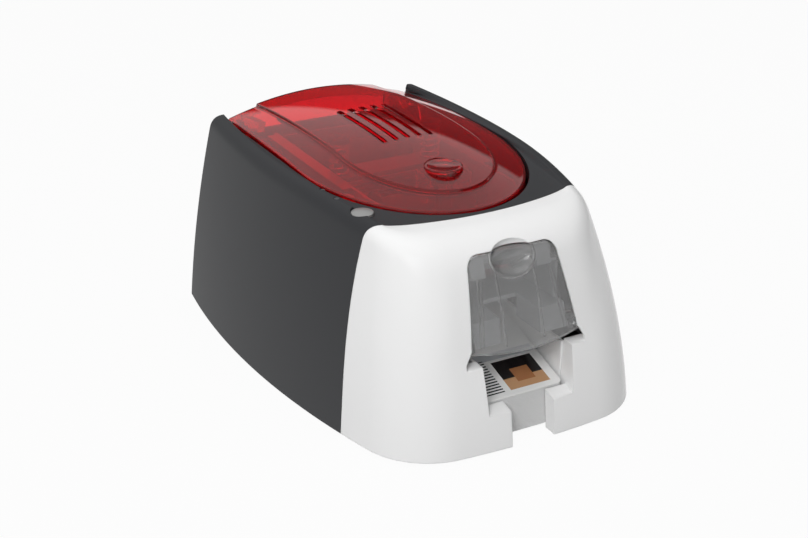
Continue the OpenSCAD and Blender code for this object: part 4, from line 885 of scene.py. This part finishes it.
class PRINTER_OT_flap(bpy.types.Operator):
    """Smoked clear feeder flap with thumb bowl, inner ribs and hinge lugs."""

    bl_idname = "printer.flap"
    bl_label = "Feeder flap"

    def execute(self, context):
        piece = make("flap_skin", [front_plate(0, FLAP_T)])
        cut(piece, "INTERSECT", [[prism(flap_outline(0), FRONT_Y - 5, FRONT_Y + 50, 1)]])
        bowl = make("bowl", [front_plate(0.2, 16, 3)])
        inner = prism(flap_outline(-0.5), FRONT_Y - 5, FRONT_Y + 50, 1)
        cut(bowl, "INTERSECT", [[inner], [scoop(1.6)]])
        join(piece, bowl, "UNION")
        ribs = [
            [(12.2, 60), (13, 60), (13, 99), (12.2, 99)],
            [(28.6, 62), (29.2, 62), (24.6, 97), (24, 97)],
            [(26.6, 62), (27.2, 62), (22.6, 97), (22, 97)],
        ]
        for outline in ribs:
            rib = make("rib", [front_plate(0.5, 3)])
            bars = make("bars", mirrored([prism(outline, FRONT_Y, FRONT_Y + 50, 1)]))
            join(rib, bars, "INTERSECT")
            join(piece, rib, "UNION")
        cut(piece, "DIFFERENCE", [[scoop(0)]])
        y, z = FLAP_HINGE_Y, FLAP_HINGE_Z
        lug = [
            (y + 2.6, z - 1.6), (y + 2.6, z + 1.6), (y + 1, z + 2.6), (y - 5.2, z + 6),
            (y - 5.2, z - 0.4), (y - 1, z - 2.6), (y + 1, z - 2.6),
        ]
        cut(piece, "UNION", [mirrored([prism(lug, 32.8, 34.8, 0)])])
        finished(piece, "flap", ["feeder_flap"], "smoked_clear_plastic")
        return {"FINISHED"}


# ---- lid ----
def lid_loop(half, rear_half, y_nose, l_nose, corner, off):
    """Closed plan of the lid: rear edge, round corner, side that draws in, half ellipse."""
    rear = LID_REAR_Y + off
    w = rear_half + off
    r = max(corner + off, 0.5)
    edge = np.column_stack([np.linspace(0, w - r, 13)[:-1], np.full(12, rear)])
    a = np.linspace(np.pi / 2, 0, 9)
    bend = np.column_stack([w - r + r * np.cos(a), rear - r + r * np.sin(a)])
    f = np.linspace(1, 0, 41)[1:-1]
    y_from = rear - r
    side = np.column_stack(
        [half + off - (half - rear_half) * f * f, y_nose + (y_from - y_nose) * f]
    )
    a = np.linspace(0, np.pi / 2, 61)
    nose = np.column_stack([(half + off) * np.cos(a), y_nose - (l_nose + off) * np.sin(a)])
    right = np.concatenate([edge, bend, side, nose])
    return np.concatenate([right, right[-2:0:-1] * (-1, 1)])


def lid_sheet(off, drop):
    """Rows of one face of the lid, from its middle line over the tongue's step to its edge.

    Rows run out from the middle line to the tongue's outline and on to the lid's outline, and the
    height falls by the tongue's rise on a smooth step between them.
    """
    outline = lid_loop(*LID_PLAN, off)
    tongue = lid_loop(*TONGUE_PLAN, off)
    middle = np.zeros_like(tongue)
    middle[:, 1] = np.clip(tongue[:, 1], TONGUE_NOSE_Y - 45, LID_REAR_Y - 20)
    rows = []
    for t in np.linspace(0, 1, 15)[:-1]:
        rows.append((middle + (tongue - middle) * t, 0.0))
    rows.append((tongue + (middle - tongue) * 0.012, 0.0))
    gap = np.linalg.norm(outline - tongue, axis=1)[:, None]
    away = (outline - tongue) / np.maximum(gap, 1e-6)
    slope = np.minimum(0.25 * gap, TONGUE_SLOPE)
    for u in np.linspace(0, 1, 7):
        rows.append((tongue + away * (slope * u), TONGUE_RISE * u * u * (3 - 2 * u)))
    first = tongue + away * slope
    for t in np.linspace(0, 1, 10)[1:]:
        rows.append((first + (outline - first) * t, TONGUE_RISE))
    return np.stack([np.column_stack([p, lid_top(*p.T) - fall - drop]) for p, fall in rows])


def lid_surface():
    """The lid's closed shell: outer sheet, rounded edge and skirt, and inner sheet below."""
    r = LID_EDGE_R
    outer = lid_sheet(-r, 0)
    inner = lid_sheet(0.3 - LID_T, LID_T)
    edge = lid_loop(*LID_PLAN, 0)
    inside = inner[-1, :, :2]
    start = outer[-1]
    away = edge - start[:, :2]
    turn = [
        np.column_stack([start[:, :2] + away * math.sin(a), start[:, 2] - r * (1 - math.cos(a))])
        for a in np.linspace(0, np.pi / 2, 6)[1:]
    ]
    foot = lid_top(*edge.T) - TONGUE_RISE - LID_SKIRT
    z = turn[-1][:, 2]
    skirt = [np.column_stack([edge, z + (foot - z) * t]) for t in (0.5, 0.93)]
    lip = [np.column_stack([edge + (inside - edge) * t, foot]) for t in (0.15, 0.85)]
    lip.append(np.column_stack([inside, foot + 0.5]))
    rings = np.concatenate([outer, np.stack(turn + skirt + lip), inner[::-1]])
    n, m = rings.shape[:2]
    return rings.reshape(-1, 3), grid_faces(n, m, closed_columns=True)


def stadium(x, y0, y1, width):
    """Outline of a slot with round ends."""
    a = np.linspace(0, np.pi, 17)
    far = np.column_stack([x + width / 2 * np.cos(a), y1 + width / 2 * np.sin(a)])
    near = np.column_stack([x - width / 2 * np.cos(a), y0 - width / 2 * np.sin(a)])
    return np.concatenate([far, near])


class PRINTER_OT_lid(bpy.types.Operator):
    """Clear red lid with its raised tongue, vent slots and the hole of the release button."""

    bl_idname = "printer.lid"
    bl_label = "Lid"

    def execute(self, context):
        s = context.scene.printer_lid
        lid = make("lid_skin", [lid_surface()], merge=2e-6)
        pitch, width, long = s.vent_pitch / MM, s.vent_width / MM, s.vent_length / MM
        tools = []
        for i in range(LID_VENTS):
            slot = stadium((i - LID_VENTS // 2) * pitch, LID_VENT_Y, LID_VENT_Y + long, width)
            tools.append([prism(slot, 120, 160, 2)])
        radius = s.button_diameter / MM / 2 + BUTTON_FIT
        tools.append([disc((0, BUTTON_Y), radius, 100, 160, 96)])
        cut(lid, "DIFFERENCE", tools)
        finished(lid, "lid", ["lid_shell"], "red_clear_plastic", angle=40)
        return {"FINISHED"}


class PRINTER_OT_button(bpy.types.Operator):
    """Clear red release button: a dished cap, hollow below, on a flat stem."""

    bl_idname = "printer.button"
    bl_label = "Release button"

    def execute(self, context):
        radius = context.scene.printer_lid.button_diameter / MM / 2
        top = float(lid_top(0.0, BUTTON_Y))
        profile = [(0, top + 1.0), (radius * 0.4, top + 1.02), (radius * 0.72, top + 1.15)]
        profile += [(radius - 2, top + 1.5)] + rounded(radius, 0.8, top + 0.8, 6)
        profile += [(radius, top - 2.8), (radius - 0.2, top - 3), (radius - 1.4, top - 3)]
        profile += [(radius - 1.4, top - 0.9), (radius - 2, top - 0.4), (0, top - 0.4)]
        cap = make("release_button", [lathe(profile, (0, BUTTON_Y, 0), 96)])
        y0, y1 = BUTTON_Y - 10.2, BUTTON_Y - 8.2
        cut(cap, "UNION", [[brick((-3, y0, 121.05), (3, y1, top - 0.2))]])
        finished(cap, "release", ["lid_button"], "red_clear_plastic")
        return {"FINISHED"}


class PRINTER_OT_power(bpy.types.Operator):
    """Silver power button: a shallow dome with a rounded rim."""

    bl_idname = "printer.power"
    bl_label = "Power button"

    def execute(self, context):
        dome = [(r, POWER_Z + 1.58 - 0.88 * (r / 6) ** 2) for r in np.linspace(0, 5.6, 9)]
        foot = [(POWER_R, 118), (POWER_R + 1.5, 118), (POWER_R + 1.5, 116), (0, 116)]
        profile = dome + rounded(POWER_R, 0.7, POWER_Z, 7) + foot
        cap = make("power_cap", [lathe(profile, (POWER_X, POWER_Y, 0), 72)])
        finished(cap, "power", ["power_button"], "button_silver")
        return {"FINISHED"}


# ---- cards and springs ----
def card_plate(y, z):
    """One card: a rounded outline, softened at its edges and tilted, its front foot at (y, z)."""
    turn = np.linspace(0, np.pi / 2, 7)
    corners = [(1, 1, 0), (-1, 1, 1), (-1, -1, 2), (1, -1, 3)]
    rows = []
    levels = [(0, CARD_EDGE), (CARD_EDGE, 0), (CARD_T - CARD_EDGE, 0), (CARD_T, CARD_EDGE)]
    for level, shrink in levels:
        r = CARD_CORNER - shrink
        x, v = [], []
        for sx, sy, q in corners:
            a = turn + q * np.pi / 2
            x.append(sx * (CARD_W / 2 - CARD_CORNER) + r * np.cos(a))
            v.append(CARD_L / 2 + sy * (CARD_L / 2 - CARD_CORNER) + r * np.sin(a))
        x, v = np.concatenate(x), np.concatenate(v)
        yy = y + v * CARD_COS - level * CARD_SIN
        rows.append(np.column_stack([x, yy, z + v * CARD_SIN + level * CARD_COS]))
    return tube(np.stack(rows))


class PRINTER_OT_cards(bpy.types.Operator):
    """Stack of finished cards in the outlet, with the printed card on top."""

    bl_idname = "printer.cards"
    bl_label = "Cards"

    def execute(self, context):
        places = [(STACK_Y + i * STACK_SHIFT, STACK_Z + i * STACK_PITCH) for i in range(STACK_N)]
        stack = make("card_pile", [card_plate(*p) for p in places])
        finished(stack, "chassis", ["card_stack"], "card_plastic")
        top = make("card_face", [card_plate(PRINTED_Y, PRINTED_Z)])
        finished(top, "card", ["printed_card"], "card_plastic", "printed_card")
        return {"FINISHED"}


def coil(x, y, z0, z1, radius, wire, turns):
    """A coil spring: a ring of wire carried round a helix whose end turns nearly close.

    With reach = radius + wire cos b, a point is (x + reach cos a, y + reach sin a, z + wire sin b).
    The first and last 0.8 turn climb only with their 14% share of the height.
    """
    t = np.linspace(0, turns, turns * 36 + 1)
    a = 2 * np.pi * t[:, None]
    rise = np.clip((t - 0.8) / (turns - 1.6), 0, 1)
    z = z0 + wire + (z1 - z0 - 2 * wire) * (rise * 0.86 + 0.14 * t / turns)
    b = whole_turn(14)[None, :]
    reach = radius + wire * np.cos(b)
    return tube(
        np.stack([x + reach * np.cos(a), y + reach * np.sin(a), z[:, None] + wire * np.sin(b)], -1)
    )


class PRINTER_OT_springs(bpy.types.Operator):
    """Two steel springs over the print head, with moulded caps."""

    bl_idname = "printer.springs"
    bl_label = "Head springs and caps"

    def execute(self, context):
        parts = [
            coil(x, SPRING_Y, SPRING_LOW, SPRING_HIGH, SPRING_R, SPRING_WIRE, 6)
            for x in (-SPRING_X, SPRING_X)
        ]
        springs = make("head_coils", parts)
        finished(springs, "lid", ["head_springs"], "steel_pin", angle=60)
        profile = [(0, 135.3), (2.4, 135.3), (2.5, 135.2), (2.5, 134.3)]
        profile += rounded(CAP_R, 0.7, 133.6, 5)
        profile += [(CAP_R, 131.5), (CAP_R - 0.2, 131.3), (0, 131.3)]
        parts = [lathe(profile, (x, SPRING_Y, 0), 48) for x in (-SPRING_X, SPRING_X)]
        finished(make("head_caps", parts), "lid", ["spring_caps"], "dark_plastic")
        return {"FINISHED"}


# ---- small parts that the solids leave to the looks ----
def screw(x, y, z, radius, outward):
    """A domed screw head with a round recess, turned about X; outward is 1 or -1."""
    t = np.linspace(0, 1, 6)
    dome = [(radius * u, x + outward * (0.3 + 0.9 * (1 - u * u))) for u in t]
    floor, lip, back = x + outward * 0.5, x + outward * 1.05, x - outward * 0.05
    recess = [(0, floor), (radius * 0.3, floor), (radius * 0.36, lip)]
    profile = recess + dome[2:] + [(radius, back), (0, back)]
    return lathe(profile, (0, y, z), 24, 0)


class PRINTER_OT_details(bpy.types.Operator):
    """Screws of the side frames, and the tongue and pin inside the two sockets."""

    bl_idname = "printer.details"
    bl_label = "Small details"

    def execute(self, context):
        heads = [
            screw(side * FRAME_FACE_X, y, z, SCREW_R, side)
            for side in (-1, 1)
            for y, z in SCREW_PLACES
        ]
        finished(make("frame_screws", heads), "chassis", [], "steel_pin")
        tongue = make("socket_tongue", [brick((20.6, 134.2, 16.2), (27.4, 142.2, 17.2))])
        finished(tongue, "chassis", [], "light_pipe")
        tip = [(0, 1), (0.5, 0.95), (0.85, 0.7), (1, 0.2)]
        profile = [(r, 142.0 + h) for r, h in tip] + [(1, 134.4), (0, 134.4)]
        pin = make("socket_pin", [lathe(profile, (0, 0, JACK_Z), 24, 1)])
        finished(pin, "chassis", [], "steel_pin")
        return {"FINISHED"}


class PRINTER_OT_stage(bpy.types.Operator):
    """Pale floor, soft studio light and the camera at the photograph's angle."""

    bl_idname = "printer.stage"
    bl_label = "Stage, light and camera"

    def execute(self, context):
        scene = context.scene
        floor = make("floor", [brick((-4000, -4000, -20), (4000, 4000, -0.05))])
        sockets = {"Roughness": 0.9, "Base Color": rgba("#c8c8c8")}
        material, tree, shader, _ = start("white_paper", sockets)
        path = add(tree, "ShaderNodeLightPath")
        rays = (path, "Is Camera Ray")
        for kind in ("Is Glossy Ray", "Is Transmission Ray"):
            either = {0: rays, 1: (path, kind)}
            rays = (add(tree, "ShaderNodeMath", either, operation="MAXIMUM"), "Value")
        share = add(tree, "ShaderNodeMath", {0: rays, 1: FLOOR_GLOW}, operation="MULTIPLY")
        glow = add(tree, "ShaderNodeEmission", {"Strength": 1.0})
        mix = {0: (share, "Value"), 1: (shader, "BSDF"), 2: (glow, "Emission")}
        mix = add(tree, "ShaderNodeMixShader", mix)
        out = next(n for n in tree.nodes if n.type == "OUTPUT_MATERIAL")
        tree.links.new(mix.outputs[0], out.inputs["Surface"])
        floor.data.materials.append(material)
        scene.world = bpy.data.worlds.new("studio")
        scene.world.use_nodes = True
        tree = scene.world.node_tree
        tree.nodes.clear()
        path = add(tree, "ShaderNodeLightPath")
        seen = {0: (path, "Is Camera Ray"), 1: (path, "Is Transmission Ray")}
        seen = add(tree, "ShaderNodeMath", seen, operation="MAXIMUM")
        across = {0: (add(tree, "ShaderNodeTexCoord"), "Generated"), 1: ROOM_EDGE_ACROSS}
        across = add(tree, "ShaderNodeVectorMath", across, operation="DOT_PRODUCT")
        high = {"Value": (path, "Is Glossy Ray"), "To Min": ROOM_HIGH, "To Max": ROOM_HIGH_GLOSSY}
        high = add(tree, "ShaderNodeMapRange", high)
        rise = {"Value": (across, "Value"), "From Min": ROOM_EDGE[0], "From Max": ROOM_EDGE[1]}
        rise.update({"To Min": ROOM_LOW, "To Max": (high, "Result")})
        rise = add(tree, "ShaderNodeMapRange", rise, interpolation_type="SMOOTHSTEP")
        room = {"Strength": (rise, "Result"), "Color": rgba("#ffffff")}
        room = add(tree, "ShaderNodeBackground", room)
        white = {"Strength": 1.0, "Color": rgba("#ffffff")}
        white = add(tree, "ShaderNodeBackground", white)
        mix = {0: (seen, "Value"), 1: (room, "Background"), 2: (white, "Background")}
        mix = add(tree, "ShaderNodeMixShader", mix)
        add(tree, "ShaderNodeOutputWorld", {"Surface": (mix, "Shader")})
        for name, place, size, power in SOFTBOXES:
            light = bpy.data.lights.new(name, "AREA")
            light.size, light.energy = size, power
            lamp = bpy.data.objects.new(name, light)
            lamp.location = place
            lamp.visible_glossy = False
            x, y, z = np.array(AIM) - np.array(place)
            lamp.rotation_euler = (math.atan2(math.hypot(x, y), -z), 0, math.atan2(-x, y))
            context.collection.objects.link(lamp)
        data = bpy.data.cameras.new("camera")
        data.lens, data.sensor_width = CAMERA_LENS, 36
        camera = bpy.data.objects.new("camera", data)
        camera.location = CAMERA_PLACE
        camera.rotation_euler = [math.radians(a) for a in CAMERA_TURN]
        context.collection.objects.link(camera)
        scene.camera = camera
        scene.view_settings.view_transform = "Standard"
        return {"FINISHED"}


class PRINTER_PT_panel(bpy.types.Panel):
    """Sizes, colours and the operators that make the printer."""

    bl_label = "Card printer"
    bl_idname = "PRINTER_PT_panel"
    bl_space_type = "VIEW_3D"
    bl_region_type = "UI"
    bl_category = "Card printer"

    def draw(self, context):
        for name, group in GROUPS.items():
            box = self.layout.box()
            for size in group.__annotations__:
                box.prop(getattr(context.scene, name), size)
        for operator in OPERATORS:
            self.layout.operator(operator.bl_idname)


OPERATORS = [
    PRINTER_OT_finishes, PRINTER_OT_stage, PRINTER_OT_body, PRINTER_OT_rear, PRINTER_OT_front,
    PRINTER_OT_flap, PRINTER_OT_lid, PRINTER_OT_button, PRINTER_OT_power, PRINTER_OT_cards,
    PRINTER_OT_springs, PRINTER_OT_details,
]
GROUPS = {
    "printer_casing": PRINTER_PG_casing,
    "printer_lid": PRINTER_PG_lid,
    "printer_colours": PRINTER_PG_colours,
}


def register():
    for kind in [*GROUPS.values(), *OPERATORS, PRINTER_PT_panel]:
        bpy.utils.register_class(kind)
    for name, group in GROUPS.items():
        setattr(bpy.types.Scene, name, bpy.props.PointerProperty(type=group))


def unregister():
    for name in GROUPS:
        delattr(bpy.types.Scene, name)
    for kind in reversed([*GROUPS.values(), *OPERATORS, PRINTER_PT_panel]):
        bpy.utils.unregister_class(kind)


def main():
    register()
    for operator in OPERATORS:
        getattr(bpy.ops.printer, operator.bl_idname.split(".")[1])()


if __name__ == "__main__":
    main()
